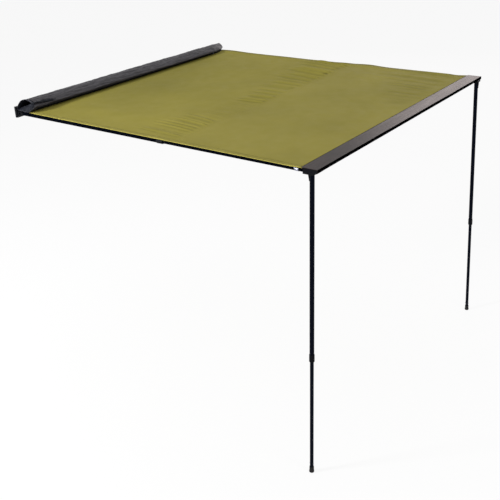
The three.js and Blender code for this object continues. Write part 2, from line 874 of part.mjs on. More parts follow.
function bagStations() {
  const nearX = -half + bag.endGap;
  const farX = half - bag.endGap;
  return [
    { x: nearX, slant: 1, forwardShare: 1, heightShare: 1 },
    { x: nearX + 2 * bag.mouthSet, slant: 0, forwardShare: 1, heightShare: 1 },
    { x: 0, slant: 0, forwardShare: 1, heightShare: 1 },
    { x: farX - bag.farTaper, slant: 0, forwardShare: 1, heightShare: 1 },
    { x: farX - 0.55 * bag.farTaper, slant: 0, forwardShare: 0.84, heightShare: 0.97 },
    { x: farX - bag.farRound, slant: 0, forwardShare: 0.58, heightShare: 0.86 },
    { x: farX - bag.farRound / 3, slant: 0, forwardShare: 0.5, heightShare: 0.8 },
    { x: farX, slant: 0, forwardShare: 0.4, heightShare: 0.68 },
  ];
}

function bagRings(inset, stations) {
  const section = bagSection(inset);
  const rear = Math.max(...section.map((p) => p.x));
  const low = Math.min(...section.map((p) => p.z));
  return stations.map((station) =>
    section.map((p) => {
      const forward = THREE.MathUtils.clamp((-p.x - rail.depth) / (bag.reach - rail.depth), 0, 1);
      const y = rear + (p.x - rear) * station.forwardShare;
      const z = low + (p.z - low) * station.heightShare;
      return new THREE.Vector3(station.x + station.slant * bag.mouthSet * forward, y, z);
    }),
  );
}

function storageBag(parent) {
  const outerStations = bagStations();
  const innerStations = bagStations();
  innerStations[innerStations.length - 1].x -= bag.wall;
  const outer = bagRings(0, outerStations);
  const inner = bagRings(bag.wall, innerStations);
  const positions = [];
  const faces = [];
  const place = (points) => points.map((p) => positions.push(p.x, p.y, p.z) / 3 - 1);
  const outerIds = outer.map(place);
  const innerIds = inner.map(place);
  const count = bag.around;
  const skin = (a, b) => {
    for (let i = 0; i < count; i += 1) {
      const next = (i + 1) % count;
      faces.push(a[i], a[next], b[next], a[i], b[next], b[i]);
    }
  };
  const close = (ids, points, flip) => {
    const centre = points.reduce((sum, p) => sum.add(p), new THREE.Vector3()).divideScalar(count);
    const hub = positions.push(centre.x, centre.y, centre.z) / 3 - 1;
    for (let i = 0; i < count; i += 1) {
      const next = (i + 1) % count;
      faces.push(...(flip ? [ids[next], ids[i], hub] : [ids[i], ids[next], hub]));
    }
  };
  for (let k = 1; k < outerIds.length; k += 1) {
    skin(outerIds[k - 1], outerIds[k]);
    skin(innerIds[k], innerIds[k - 1]);
  }
  skin(innerIds[0], outerIds[0]);
  close(outerIds[outerIds.length - 1], outer[outer.length - 1], false);
  close(innerIds[innerIds.length - 1], inner[inner.length - 1], true);
  const geometry = new THREE.BufferGeometry();
  geometry.setAttribute('position', new THREE.Float32BufferAttribute(positions, 3));
  geometry.setIndex(faces);
  if (solid(geometry).volume() < 0) {
    const index = geometry.index.array;
    for (let i = 0; i < index.length; i += 3) {
      [index[i], index[i + 1]] = [index[i + 1], index[i]];
    }
  }
  geometry.computeVertexNormals();
  piece('storage_bag', geometry, finishes.bagCloth, parent);
}

// Bands that lie on the bag: a bound rim round its mouth, and a zip along its lower front edge

function offsetSection(distance) {
  return bagSection(-distance).map((p) => [p.z, p.x]);
}

function bagRim(parent) {
  const outline = (distance) => offsetSection(distance).map(([z, y]) => new THREE.Vector2(y, z));
  const shape = new THREE.Shape(outline(gap.fit + bag.rimThickness));
  shape.holes.push(new THREE.Path(outline(gap.fit)));
  const geometry = new THREE.ExtrudeGeometry(shape, { depth: bag.rimWidth, bevelEnabled: false });
  geometry.applyMatrix4(new THREE.Matrix4().set(0, 0, 1, 0, 1, 0, 0, 0, 0, 1, 0, 0, 0, 0, 0, 1));
  const position = geometry.attributes.position;
  for (let i = 0; i < position.count; i += 1) {
    const forward = THREE.MathUtils.clamp((-position.getY(i) - rail.depth) / (bag.reach - rail.depth), 0, 1);
    const along = position.getX(i);
    position.setX(i, -half + bag.endGap + bag.mouthSet * forward + along);
  }
  piece('bag_rim', shown(solid(geometry)), finishes.bindingCloth, parent);
}

function bagKeder(parent) {
  const level = bagGrooveRise;
  const section = bagSection(0);
  const behind = section.filter((p) => Math.abs(p.z - level) < bag.top / 5 && -p.x < bag.reach / 2);
  const reach = Math.max(...behind.map((p) => p.x)) + gap.fit;
  const start = -half + bag.endGap + bag.rimWidth + gap.run;
  const strip = block(
    start,
    half - bag.farTaper,
    reach,
    rearGrooveY,
    level - bag.flangeThickness / 2,
    level + bag.flangeThickness / 2,
  );
  const rope = rodX(keder.rope, start, half - bag.farTaper, rearGrooveY, level);
  piece('bag_keder', join([rope, strip]), finishes.bindingCloth, parent);
}

function zipFrame() {
  const section = bagSection(0);
  const height = bagFloor + (bag.top - bag.floor) * zip.upShare;
  const wanted = new THREE.Vector3(-bag.reach * zip.outShare, 0, height);
  const closer = (best, p, i) => (p.distanceTo(wanted) < section[best].distanceTo(wanted) ? i : best);
  const nearest = section.reduce(closer, 0);
  const before = section[nearest - 1];
  const after = section[nearest + 1];
  const along = after.clone().sub(before).normalize();
  return { centre: section[nearest], along, outward: new THREE.Vector3(-along.z, 0, along.x), nearest };
}

function zipFastener(parent) {
  const start = -half + bag.endGap + 2 * bag.mouthSet + gap.run;
  const stop = half - bag.endGap - bag.farTaper - gap.run;
  const { nearest } = zipFrame();
  const band = (distance) => {
    const ring = bagSection(-distance);
    return [nearest - 1, nearest, nearest + 1].map((i) => [ring[i].x, ring[i].z]);
  };
  const outline = [...band(gap.fit), ...band(gap.fit + zip.tapeThickness).reverse()];
  piece('zip_tape', alongX(outline, start, stop), finishes.trim, parent);

  const { centre, along, outward } = zipFrame();
  const sign = outward.z < 0 ? 1 : -1;
  const point = (out, side) => {
    const p = centre.clone().addScaledVector(outward, sign * out).addScaledVector(along, side);
    return [p.x, p.z];
  };
  const plate = (from, to, width, x0, x1) =>
    alongX([point(from, -width), point(from, width), point(to, width), point(to, -width)], x0, x1);
  const seat = 2 * gap.fit + zip.tapeThickness;
  const top = seat + zip.sliderHeight;
  const x1 = stop - zip.sliderInset;
  const x0 = x1 - zip.sliderLength;
  piece('zip_slider', plate(seat, top, zip.sliderWidth / 2, x0, x1), finishes.brightMetal, parent);
  const rise = top + gap.fit;
  const pull = plate(rise, rise + zip.pullThickness, zip.pullWidth / 2, x1 - zip.pullLength, x1);
  piece('zip_pull', pull, finishes.brightMetal, parent);
}

const awning = new THREE.Group();
awning.name = 'vehicle_side_awning';
rearRail(awning);
frontBeam(awning);
canopyCloth(awning);
storageBag(awning);
bagRim(awning);
bagKeder(awning);
zipFastener(awning);
for (const end of ends) {
  railCap(end, awning);
  cornerBracket(end, awning);
  foldingLeg(end, awning);
  swingingArm(end, awning);
  armScrews(end, awning);
}

export default awning;
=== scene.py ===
import json
import math

import bpy
from mathutils import Matrix, Vector, noise


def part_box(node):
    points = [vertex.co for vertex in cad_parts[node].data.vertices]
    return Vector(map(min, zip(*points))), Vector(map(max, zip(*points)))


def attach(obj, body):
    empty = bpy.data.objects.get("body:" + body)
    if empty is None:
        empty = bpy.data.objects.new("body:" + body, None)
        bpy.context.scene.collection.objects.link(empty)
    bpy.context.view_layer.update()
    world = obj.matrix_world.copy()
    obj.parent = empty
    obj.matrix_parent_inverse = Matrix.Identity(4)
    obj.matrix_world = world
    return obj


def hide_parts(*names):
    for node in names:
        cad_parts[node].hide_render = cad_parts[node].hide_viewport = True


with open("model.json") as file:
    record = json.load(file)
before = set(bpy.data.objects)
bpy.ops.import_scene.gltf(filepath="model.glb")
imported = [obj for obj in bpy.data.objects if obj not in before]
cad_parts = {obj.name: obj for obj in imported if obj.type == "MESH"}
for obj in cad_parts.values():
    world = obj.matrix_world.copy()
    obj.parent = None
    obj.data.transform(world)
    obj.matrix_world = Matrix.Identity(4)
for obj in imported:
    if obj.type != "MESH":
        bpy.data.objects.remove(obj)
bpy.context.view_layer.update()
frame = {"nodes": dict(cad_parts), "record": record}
nodes = frame["nodes"]
scene = bpy.context.scene
scene.view_settings.view_transform = "Standard"
print("frame loaded:", len(nodes), "nodes")


# Node helpers


def feed(tree, node, values):
    # an input gets a link where its value is a socket, and a constant where it is not
    for label, value in values.items():
        if isinstance(value, bpy.types.NodeSocket):
            tree.links.new(value, node.inputs[label])
        else:
            node.inputs[label].default_value = value
    return node


def newNode(tree, kind, values={}, **settings):
    node = tree.nodes.new(kind)
    for label, value in settings.items():
        setattr(node, label, value)
    return feed(tree, node, values)


def mathNode(tree, operation, *values):
    node = newNode(tree, "ShaderNodeMath", operation=operation)
    return feed(tree, node, dict(enumerate(values))).outputs[0]


# Camera, floor and light

viewpoint = {
    "place": (-3.978, -4.1538, 1.3329),
    "azimuth": -52.111,
    "elevation": 22.417,
    "roll": -3.155,
    "lens": 57.439,
    "sensor": 36,
    "shiftY": -0.1,
    "sight": 200,
}


def makeCamera(v):
    a, e, r = (math.radians(v[k]) for k in ("azimuth", "elevation", "roll"))
    back = Vector((math.sin(a) * math.cos(e), -math.cos(a) * math.cos(e), math.sin(e)))
    level = Vector((math.cos(a), math.sin(a), 0))
    rise = back.cross(level)
    right = math.cos(r) * level + math.sin(r) * rise
    up = back.cross(right)
    data = bpy.data.cameras.new("camera")
    data.lens = v["lens"]
    data.sensor_width = v["sensor"]
    data.shift_y = v["shiftY"]
    data.clip_end = v["sight"]
    camera = bpy.data.objects.new("camera", data)
    scene.collection.objects.link(camera)
    camera.matrix_world = Matrix([(right[i], up[i], back[i], v["place"][i]) for i in range(3)] + [(0, 0, 0, 1)])
    scene.camera = camera


studio = {
    "ground": -1.7655,
    "floorSize": 80,
    "floorPaint": {"Base Color": (0.84, 0.84, 0.85, 1), "Roughness": 0.9, "Specular IOR Level": 0.1},
    "floorGlow": 0.9,  # share of the floor's colour that stays white for the camera
    "skyColor": (1, 1, 1, 1),
    "skyLight": 0.38,
    # place, size, power, aim, colour
    "lamps": {
        "key": ((-5.3, 2.0, 2.15), 1.05, 470, (0, -1.1, 0), (1, 1, 1)),
        "top": ((2.0, -1.0, 6.0), 4.0, 62, (0, -1.1, 0), (1, 1, 1)),
        "front": ((-1.5, -7.5, 2.2), 1.8, 95, (0, -0.6, 0), (1, 1, 1)),
        "farCard": ((8.5, 1.0, 2.25), 3.0, 54, (1.0, -2.2, 0), (1, 0.86, 0.83)),
        "legCard": ((-6.5, -7.5, 0.5), 1.2, 60, (-0.6, -2.2, -0.9), (1, 1, 1)),
    },
}


def areaLight(name, place, size, power, aim, color):
    data = bpy.data.lights.new(name, "AREA")
    data.shape = "DISK"
    data.size = size
    data.energy = power
    data.color = color
    lamp = bpy.data.objects.new(name, data)
    scene.collection.objects.link(lamp)
    lamp.location = place
    lamp.rotation_euler = (Vector(aim) - Vector(place)).to_track_quat("-Z", "Y").to_euler()
    lamp.visible_camera = False


def seenDirectly(tree):
    # 1 for camera, mirror and glass rays, 0 for the rays that light things
    path = newNode(tree, "ShaderNodeLightPath").outputs
    either = mathNode(tree, "MAXIMUM", path["Is Camera Ray"], path["Is Glossy Ray"])
    return mathNode(tree, "MAXIMUM", either, path["Is Transmission Ray"])


def makeWorld(s):
    world = bpy.data.worlds.new("studio")
    scene.world = world
    world.use_nodes = True
    tree = world.node_tree
    tree.nodes.clear()
    lit, seen = (
        newNode(tree, "ShaderNodeBackground", {"Color": s["skyColor"], "Strength": strength}).outputs[0]
        for strength in (s["skyLight"], 1.0)
    )
    mix = newNode(tree, "ShaderNodeMixShader", {0: seenDirectly(tree), 1: lit, 2: seen})
    newNode(tree, "ShaderNodeOutputWorld", {"Surface": mix.outputs[0]})


def newFinish(name, fixed):
    material = bpy.data.materials.new(name)
    material.use_nodes = True
    tree = material.node_tree
    return material, tree, feed(tree, tree.nodes["Principled BSDF"], fixed)


def makeFloor(s):
    bpy.ops.mesh.primitive_plane_add(size=s["floorSize"], location=(0, 0, s["ground"]))
    floor = bpy.context.object
    floor.name = "floor"
    paint, tree, surface = newFinish("floorPaint", s["floorPaint"])
    glow = newNode(tree, "ShaderNodeEmission", {"Strength": 1.0})
    share = mathNode(tree, "MULTIPLY", seenDirectly(tree), s["floorGlow"])
    blend = newNode(tree, "ShaderNodeMixShader", {0: share, 1: surface.outputs[0], 2: glow.outputs[0]})
    feed(tree, tree.nodes["Material Output"], {"Surface": blend.outputs[0]})
    floor.data.materials.append(paint)


makeCamera(viewpoint)
makeWorld(studio)
for name, lamp in studio["lamps"].items():
    areaLight(name, *lamp)
makeFloor(studio)
print("camera and studio ready")


# Shader groups that several finishes share

cloudRange = {"From Min": 0.3, "From Max": 0.7}  # the part of the noise that the tone and the grain use


def newGroup(name, inputs, outputs):
    # a default of three numbers makes a vector socket, and one of four a colour
    tree = bpy.data.node_groups.new(name, "ShaderNodeTree")
    for way, sockets in (("INPUT", inputs), ("OUTPUT", outputs)):
        for label, value in sockets.items():
            kind = ("Vector", "Color")[len(value) - 3] if isinstance(value, tuple) else "Float"
            socket = tree.interface.new_socket(name=label, in_out=way, socket_type="NodeSocket" + kind)
            socket.default_value = value
    return tree, newNode(tree, "NodeGroupInput").outputs


def axisOf(tree, vector, axis):
    return newNode(tree, "ShaderNodeSeparateXYZ", {"Vector": vector}).outputs[axis]


def tint(tree, blend, share, color, other):
    values = {"Factor": share, "A": color, "B": other}
    return newNode(tree, "ShaderNodeMix", values, data_type="RGBA", blend_type=blend).outputs["Result"]


def weaveGroup():
    tree, given = newGroup("weave", {"Vector": (0, 0, 0), "Pitch": 0.001}, {"Height": 0.0})
    turns = mathNode(tree, "DIVIDE", math.pi, given["Pitch"])
    phases = [mathNode(tree, "MULTIPLY", axisOf(tree, given["Vector"], axis), turns) for axis in "XY"]
    warp, weft = (mathNode(tree, "SINE", phase) for phase in phases)
    over = mathNode(tree, "ABSOLUTE", mathNode(tree, "MULTIPLY", warp, weft))
    newNode(tree, "NodeGroupOutput", {"Height": over})
    return tree


def toneGroup():
    inputs = {"Vector": (0, 0, 0), "Scale": 3.0, "Dark": (0.1, 0.1, 0.1, 1), "Light": (0.2, 0.2, 0.2, 1)}
    tree, given = newGroup("tone", inputs, {"Color": (0, 0, 0, 1)})
    values = {"Vector": given["Vector"], "Scale": given["Scale"], "Detail": 5, "Roughness": 0.6}
    cloud = newNode(tree, "ShaderNodeTexNoise", values)
    spread = newNode(tree, "ShaderNodeMapRange", {"Value": cloud.outputs["Fac"], **cloudRange})
    color = tint(tree, "MIX", spread.outputs["Result"], given["Dark"], given["Light"])
    newNode(tree, "NodeGroupOutput", {"Color": color})
    return tree


def grainGroup():
    inputs = {"Vector": (0, 0, 0), "Scale": 800.0, "Stretch": (1, 1, 1), "Low": 0.3, "High": 0.5}
    tree, given = newGroup("grain", inputs, {"Height": 0.0, "Roughness": 0.0})
    size = newNode(tree, "ShaderNodeVectorMath", {0: given["Vector"], 1: given["Stretch"]}, operation="MULTIPLY")
    cloud = newNode(tree, "ShaderNodeTexNoise", {"Vector": size.outputs[0], "Scale": given["Scale"], "Detail": 4})
    height = cloud.outputs["Fac"]
    values = {"Value": height, **cloudRange, "To Min": given["Low"], "To Max": given["High"]}
    spread = newNode(tree, "ShaderNodeMapRange", values)
    newNode(tree, "NodeGroupOutput", {"Height": height, "Roughness": spread.outputs["Result"]})
    return tree


groups = {"weave": weaveGroup(), "tone": toneGroup(), "grain": grainGroup()}


def srgb(r, g, b):
    def one(c):
        c = c / 255
        return c / 12.92 if c <= 0.04045 else ((c + 0.055) / 1.055) ** 2.4

    return (one(r), one(g), one(b), 1)


def toneOf(tree, spec, coords):
    dark, light, scale = spec["base"][:3]
    values = {"Vector": coords, "Scale": scale, "Dark": srgb(*dark), "Light": srgb(*light)}
    return newNode(tree, "ShaderNodeGroup", values, node_tree=groups["tone"]).outputs["Color"]


def grainOf(tree, spec, coords):
    scale, low, high = spec["base"][3:]
    stretch = spec.get("stretch", (1, 1, 1))
    values = {"Vector": coords, "Scale": scale, "Stretch": stretch, "Low": low, "High": high}
    return newNode(tree, "ShaderNodeGroup", values, node_tree=groups["grain"]).outputs


def bump(tree, surface, layers):
    # layers are (height socket, distance, strength), laid one on the other
    last = {}
    for height, distance, strength in layers:
        values = {"Height": height, "Distance": distance, "Strength": strength, **last}
        last = {"Normal": newNode(tree, "ShaderNodeBump", values).outputs["Normal"]}
    feed(tree, surface, last)


# Finishes for the pieces that keep their CAD shape, each named like its slot

# base: dark and light colour, scales of the tone and of the grain, least and most roughness
hardFinishes = {
    "railMetal": dict(
        base=((26, 27, 30), (37, 38, 42), 6, 300, 0.34, 0.48),
        stretch=(0.03, 1, 1),
        metal=0.7,
        gloss=0.4,
    ),
    "beamMetal": dict(
        base=((31, 24, 23), (45, 36, 35), 9, 420, 0.26, 0.38),
        stretch=(0.012, 1, 1),
        gloss=0.08,
        glossTint=(1.0, 0.87, 0.85, 1),
    ),
    "tubeMetal": dict(base=((4, 5, 10), (7, 9, 18), 12, 900, 0.22, 0.32), gloss=0.05, glossTint=(0.35, 0.5, 1.0, 1)),
    # painted shade: a darker, matt copy of tubeMetal for the arms, which lie in the canopy's shade
    "armMetal": dict(base=((3, 4, 8), (6, 8, 15), 12, 900, 0.4, 0.5), gloss=0.0),
    "brightMetal": dict(base=((122, 125, 143), (162, 164, 180), 60, 900, 0.16, 0.3), stretch=(1, 1, 0.1), metal=1.0),
    "moulding": dict(base=((7, 8, 12), (12, 13, 18), 20, 1500, 0.42, 0.58), gloss=0.05),
    "edgeTrim": dict(base=((3, 3, 4), (6, 6, 7), 8, 700, 0.4, 0.55), stretch=(0.05, 1, 1), gloss=0.0),
    "rubber": dict(base=((14, 14, 16), (26, 26, 27), 40, 1200, 0.7, 0.85), gloss=0.25),
}


# Finishes of the cloth

crossSeam = -1.33  # where the canopy's two panels are sewn together
underBagShadeEdge = -0.126
hemFold = 0.0245  # across the hem from its inner edge, where the cloth turns down
rearBand = srgb(20, 20, 23)  # painted shade: the dark tone that the canopy and its hems take behind this line, under the bag

# weave: pitch of the threads, depths of the creases and of the weave
clothFinishes = {
    "canopyCloth": dict(
        base=((128, 120, 48), (140, 131, 55), 1.6, 14, 0.72, 0.84),
        weave=(0.0011, 0.0016, 0.00008),
        weaveOn="Object",
        frontPanel=(1.0, 1.0, 1.12, 1),  # the panel in front of the cross seam is a shade cooler
        faded=(0.78, 0.79, 0.76, 1),  # painted shade, darker where the attribute lay is high: the bag's shadow in front of it, the shaded sides of the creases and the far edge
        rearBand=rearBand,
        gloss=0.2,
    ),
    # painted light: the hem is the canopy's cloth made lighter, so that its hanging edge looks lit
    "hemCloth": dict(
        base=((150, 141, 64), (165, 155, 74), 7, 40, 0.74, 0.86),
        weave=(0.0011, 0.0008, 0.0001),
        flatTone=(0.62, 0.62, 0.61, 1),  # painted light: the flat top is darkened, so that the folded edge that hangs down stays lighter, as if lit from the side
        rearBand=rearBand,
        gloss=0.2,
    ),
    "bagCloth": dict(base=((34, 32, 37), (54, 51, 57), 9, 30, 0.42, 0.58), weave=(0.0016, 0.0012, 0.0001), gloss=0.4),
    "bagTopBand": dict(base=((15, 14, 17), (27, 26, 30), 9, 30, 0.55, 0.7), weave=(0.0016, 0.0012, 0.0001), gloss=0.15),
    # painted shade: a darker copy of the bag's cloth for its inside, where shade falls
    "bagLining": dict(base=((14, 16, 21), (27, 29, 37), 20, 60, 0.6, 0.8), weave=(0.0016, 0.0008, 0.0001), gloss=0.1),
    "seamThread": dict(
        base=((100, 94, 38), (118, 111, 47), 60, 300, 0.7, 0.85),
        weave=(0.0006, 0.0001, 0.00005),
        gloss=0.1,
    ),
    "rimCloth": dict(base=((50, 51, 58), (74, 75, 84), 30, 90, 0.6, 0.75), weave=(0.0014, 0.0004, 0.0002), gloss=0.25),
    "bindingCloth": dict(
        base=((13, 13, 16), (24, 24, 28), 30, 90, 0.7, 0.85),
        weave=(0.0014, 0.0004, 0.0002),
        gloss=0.2,
    ),
}
grainDepth = 0.0002  # of the hard finishes
grainStrength, creaseStrength, weaveStrength = 0.25, 0.5, 0.4
fixedInputs = {"metal": "Metallic", "gloss": "Specular IOR Level", "glossTint": "Specular Tint"}


def makeFinish(name, spec):
    fixed = {label: spec[key] for key, label in fixedInputs.items() if key in spec}
    material, tree, surface = newFinish(name, fixed)
    source = newNode(tree, "ShaderNodeTexCoord").outputs
    coords = source["Object"]
    grain = grainOf(tree, spec, coords)
    color = toneOf(tree, spec, coords)
    if "frontPanel" in spec:
        inFront = mathNode(tree, "LESS_THAN", axisOf(tree, coords, "Y"), crossSeam)
        color = tint(tree, "MULTIPLY", inFront, color, spec["frontPanel"])
    # painted shade: the attribute lay darkens the cloth in the bag's shadow, on the creases' shaded sides and along the
    # far edge
    if "faded" in spec:
        lay = newNode(tree, "ShaderNodeAttribute", attribute_name="lay").outputs["Fac"]
        color = tint(tree, "MULTIPLY", lay, color, spec["faded"])
    # painted light: the hem's flat top is darkened and its hanging edge is left lighter, as if lit
    if "flatTone" in spec:
        onTop = mathNode(tree, "LESS_THAN", axisOf(tree, source["UV"], "X"), hemFold)
        color = tint(tree, "MULTIPLY", onTop, color, spec["flatTone"])
    # painted shade: the cloth turns dark under the bag
    if "rearBand" in spec:
        atRear = mathNode(tree, "GREATER_THAN", axisOf(tree, coords, "Y"), underBagShadeEdge)
        color = tint(tree, "MIX", atRear, color, spec["rearBand"])
    feed(tree, surface, {"Base Color": color, "Roughness": grain["Roughness"]})
    relief = [(grain["Height"], grainDepth, grainStrength)]
    if "weave" in spec:
        pitch, creaseDepth, weaveDepth = spec["weave"]
        values = {"Vector": source[spec.get("weaveOn", "UV")], "Pitch": pitch}
        threads = newNode(tree, "ShaderNodeGroup", values, node_tree=groups["weave"]).outputs["Height"]
        relief = [(grain["Height"], creaseDepth, creaseStrength), (threads, weaveDepth, weaveStrength)]
    bump(tree, surface, relief)
    return material


finishes = {name: makeFinish(name, spec) for name, spec in (hardFinishes | clothFinishes).items()}
for part in frame["record"]["subparts"]:
    # the slot rail_metal has the finish railMetal
    first, *others = part["material_slot"].split("_")
    name = first + "".join(word.title() for word in others)
    if name in hardFinishes:
        # painted shade: the arms' tubes take the darker, matt copy of the tube finish
        if name == "tubeMetal" and "_arm_" in part["node"]:
            name = "armMetal"
        mesh = nodes[part["node"]].data
        mesh.materials.clear()
        mesh.materials.append(finishes[name])
print("finishes ready")


# Shape helpers


def between(pair, share):
    return pair[0] + (pair[1] - pair[0]) * share


def clamp(value):
    return max(0.0, min(1.0, value))


def smoothstep(low, high, value):
    t = clamp((value - low) / (high - low))
    return t * t * (3 - 2 * t)


def hump(value):
    return math.exp(-value * value)


def wobble(a, b, c):
    return noise.noise(Vector((a, b, c)))


def rounded(value, power):
    return math.copysign(abs(value) ** power, value)


def running(points):
    # the distance from the first point to each, along the points
    out = [0.0]
    for a, b in zip(points, points[1:]):
        out.append(out[-1] + math.dist(a, b))
    return out


def spaced(start, stop, steps):
    return [between((start, stop), k / steps) for k in range(steps + 1)]


def turnsOf(sides):
    return [2 * math.pi * k / sides for k in range(sides)]


def showPiece(name, mesh, finish, body, replaced=()):
    mesh.materials.clear()
    mesh.materials.append(finishes[finish])
    piece = bpy.data.objects.new(name, mesh)
    scene.collection.objects.link(piece)
    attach(piece, body)
    if replaced:
        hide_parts(*replaced)
    return piece


def newPiece(name, verts, faces, finish, body, replaced=(), uvs=None):
    mesh = bpy.data.meshes.new(name)
    mesh.from_pydata([tuple(v) for v in verts], [], faces)
    mesh.validate()
    mesh.shade_smooth()
    if uvs:
        layer = mesh.uv_layers.new(name="cloth")
        for loop in mesh.loops:
            layer.data[loop.index].uv = uvs[loop.vertex_index]
    return showPiece(name, mesh, finish, body, replaced)


def grid(rows, closed=False, flip=False):
    # faces between rows that have equally many vertices
    count = len(rows[0])
    faces = []
    for a, b in zip(rows, rows[1:]):
        for i in range(count if closed else count - 1):
            j = (i + 1) % count
            quad = (a[i], a[j], b[j], b[i])
            faces.append(quad[::-1] if flip else quad)
    return faces


def numbered(rings):
    # the vertex numbers of each ring
    count = len(rings[0])
    return [list(range(k * count, (k + 1) * count)) for k in range(len(rings))]


def loft(name, rings, finish, replaced=(), across=None, axis=0, body="frame", flip=False):
    # a closed solid through the rings; its map runs across each ring, by places or one step, and along an axis
    verts = [p for ring in rings for p in ring]
    rows = numbered(rings)
    faces = grid(rows, closed=True, flip=flip)
    faces += [rows[0], rows[-1][::-1]] if flip else [rows[0][::-1], rows[-1]]
    if isinstance(across, float):
        across = [across * k for k in range(len(rows[0]))]
    uvs = across and [(a, p[axis]) for ring in rings for a, p in zip(across, ring)]
    return newPiece(name, verts, faces, finish, body, replaced, uvs)


# Canopy

canopySheet = {
    "level": 0.009,
    "thickness": 0.0009,
    "columns": 470,
    "edgeColumns": (0.001, 0.003, 0.997, 0.999),
    "rowStep": 0.045,
    "fineRows": (0.5, 0.0105),  # how far behind the cross seam the rows lie close, and how close
    "seamRows": (0, 0.0045, 0.006, 0.0075),  # to each side of the seam
    "seamClear": (0.03, 0.012),  # first plain row in front of the seam, and behind it
    "endRows": (0.01, 0.02),  # in from the ends: the last row but one, and where the plain rows stop
    "mainFold": 0.00225,
    "mainWaves": [(3.1, 1.3, 0), (1.4, -2.6, 1)],  # waves across and along, phase
    "edgeShare": 0.05,
    "drape": (0.0011, 5, 1.6),  # height, waves across and along
    "inGrooves": 0.004,  # length of cloth that lies in the grooves
    "rearInset": 0.013,  # how far each side draws in on its way to the rail
    "cornerDraw": (-2.1, 0.05, 0.018),  # the far front corner draws in: y, half length, amount
    "edgeWidth": 0.026,  # the strip at each side that the hem covers
    "edgeSlope": (0.1, 0.15),  # how steeply that strip hangs outwards, near and far
    "edgeFade": (0.015, 0.12),  # in from the canopy's ends, where the shapes of its edges begin
    "edgeRipple": (0.05, 0.0012, 2, 5.5),  # width, height, waves across and along
    "farRoll": (0.05, 0.026, 0.0045),  # in from the far edge, width, height
    "collarLift": (-1.228, 0.05, 0.03, 0.0016),  # where the arm's collar lifts the cloth: y, length, width, height
    # y, half length, height of the waves along the far edge
    "farWaves": [(-0.19, 0.13, 0.006), (-1.43, 0.1, 0.0062), (-1.0, 0.2, -0.0015)],
    "waveWidth": 0.07,
    "seamRise": 0.0003,
    # how many, x where they end, x and y where they start, height, then what isn't as usual:
    # a groove beside each, growth to the far side, narrowness, an end that isn't the cross seam
    "creaseFamilies": [
        (7, (-0.95, -0.62), (-0.93, -0.57), (-0.84, -1.04), (0.003, 0.0058), {"groove": 0.6, "narrow": 1.1}),
        (7, (-0.6, -0.16), (-0.56, -0.17), (-1.12, -1.1), (0.0006, 0.0016), {}),
        (18, (-0.17, 0.96), (-0.2, 1.09), (-1.1, -0.84), (0.0032, 0.0072), {"groove": 1, "grow": 0.9, "narrow": 1.25}),
        (13, (0.18, 0.98), (0.13, 1.06), (-1.96, -1.46), (0.0012, 0.003), {"grow": 0.6, "narrow": 1.4, "end": -2.115}),
    ],
    "creaseWidth": (0.0095, 0.016),
    "creaseBow": 0.012,
    "creaseFade": ((0, 0.5), (0.86, 1)),  # shares of its length, where a crease rises and where it ends
    "grooveSide": 1.6,  # where the groove beside it lies, in widths
    "shadeSide": (1.5, 0.8, 0.008),  # where its shaded side lies, how wide, height that gets the full painted shade
    "creaseSpread": 0.09,  # how unevenly they start
    # x, y, half width, half length of the patches of painted shadow that the bag casts in front of it
    "lay": [(-0.12, -0.38, 0.55, 0.3), (0.35, -0.2, 0.5, 0.16)],
    "farStrip": (1.0, 0.045, -2.0, -1.5),  # how much painted shade the far edge gets, as it turns away from the light, how wide, from where
    "creaseTone": 1.9,  # and how much painted shade the shaded sides of the creases get
    "creaseLimit": 0.85,
    # x, y, half width, half length, depth, spacing of the small wrinkles by the beam
    "wrinklePatches": [
        (0.74, -1.72, 0.26, 0.38, 0.003, 0.07),
        (0.05, -1.85, 0.5, 0.3, 0.0014, 0.06),
        (-0.55, -2.0, 0.4, 0.16, 0.0009, 0.05),
    ],
}
sheetLow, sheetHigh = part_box("canopy")


def makeCreases(spec):
    lines = []
    for f, (count, ends, starts, rears, heights, other) in enumerate(spec["creaseFamilies"]):
        for k in range(count):
            drift, size, breadth, length = (wobble(k * 2.37 + 0.4, f * 5.1 + 0.3, s * 3.3) for s in range(4))
            share = (k + 0.5 + 0.8 * drift) / count
            gain = 1 + other.get("grow", 0.0) * share * share
            lines.append(
                {
                    "endX": between(ends, share),
                    "startX": between(starts, share),
                    "startY": between(rears, share) + spec["creaseSpread"] * length,
                    "endY": other.get("end", crossSeam),
                    "height": between(heights, clamp(0.5 + 1.3 * size)) * gain,
                    "groove": other.get("groove", 0.0) * share,
                    "width": between(spec["creaseWidth"], clamp(0.5 + breadth)) * other.get("narrow", 1.0),
                    "bow": spec["creaseBow"] * drift,
                }
            )
    return lines


creases = makeCreases(canopySheet)


def halfWidth(y, side, spec=canopySheet):
    half = sheetHigh.x - spec["rearInset"] * (y - sheetLow.y) / (sheetHigh.y - sheetLow.y)
    if side > 0:
        place, long, amount = spec["cornerDraw"]
        half -= amount * hump((y - place) / long)
    return half


def edgeShape(x, y, spec=canopySheet):
    # how far the cloth and its hem stand above the plain sheet near the canopy's sides
    inward = max(0.0, halfWidth(y, x) - abs(x))
    lift = -spec["edgeSlope"][x > 0] * max(0.0, spec["edgeWidth"] - inward)
    place, long, wide, height = spec["collarLift"]
    lift += height * hump((y - place) / long) * hump(inward / wide)
    wide, height, across, along = spec["edgeRipple"]
    lift += height * hump(inward / wide) * wobble(x * across, y * along, 4.4)
    if x > 0:
        place, wide, height = spec["farRoll"]
        lift += height * hump((inward - place) / wide)
        for place, long, height in spec["farWaves"]:
            lift += height * hump(inward / spec["waveWidth"]) * hump((y - place) / long)
    return smoothstep(*spec["edgeFade"], min(y - sheetLow.y, sheetHigh.y - y)) * lift


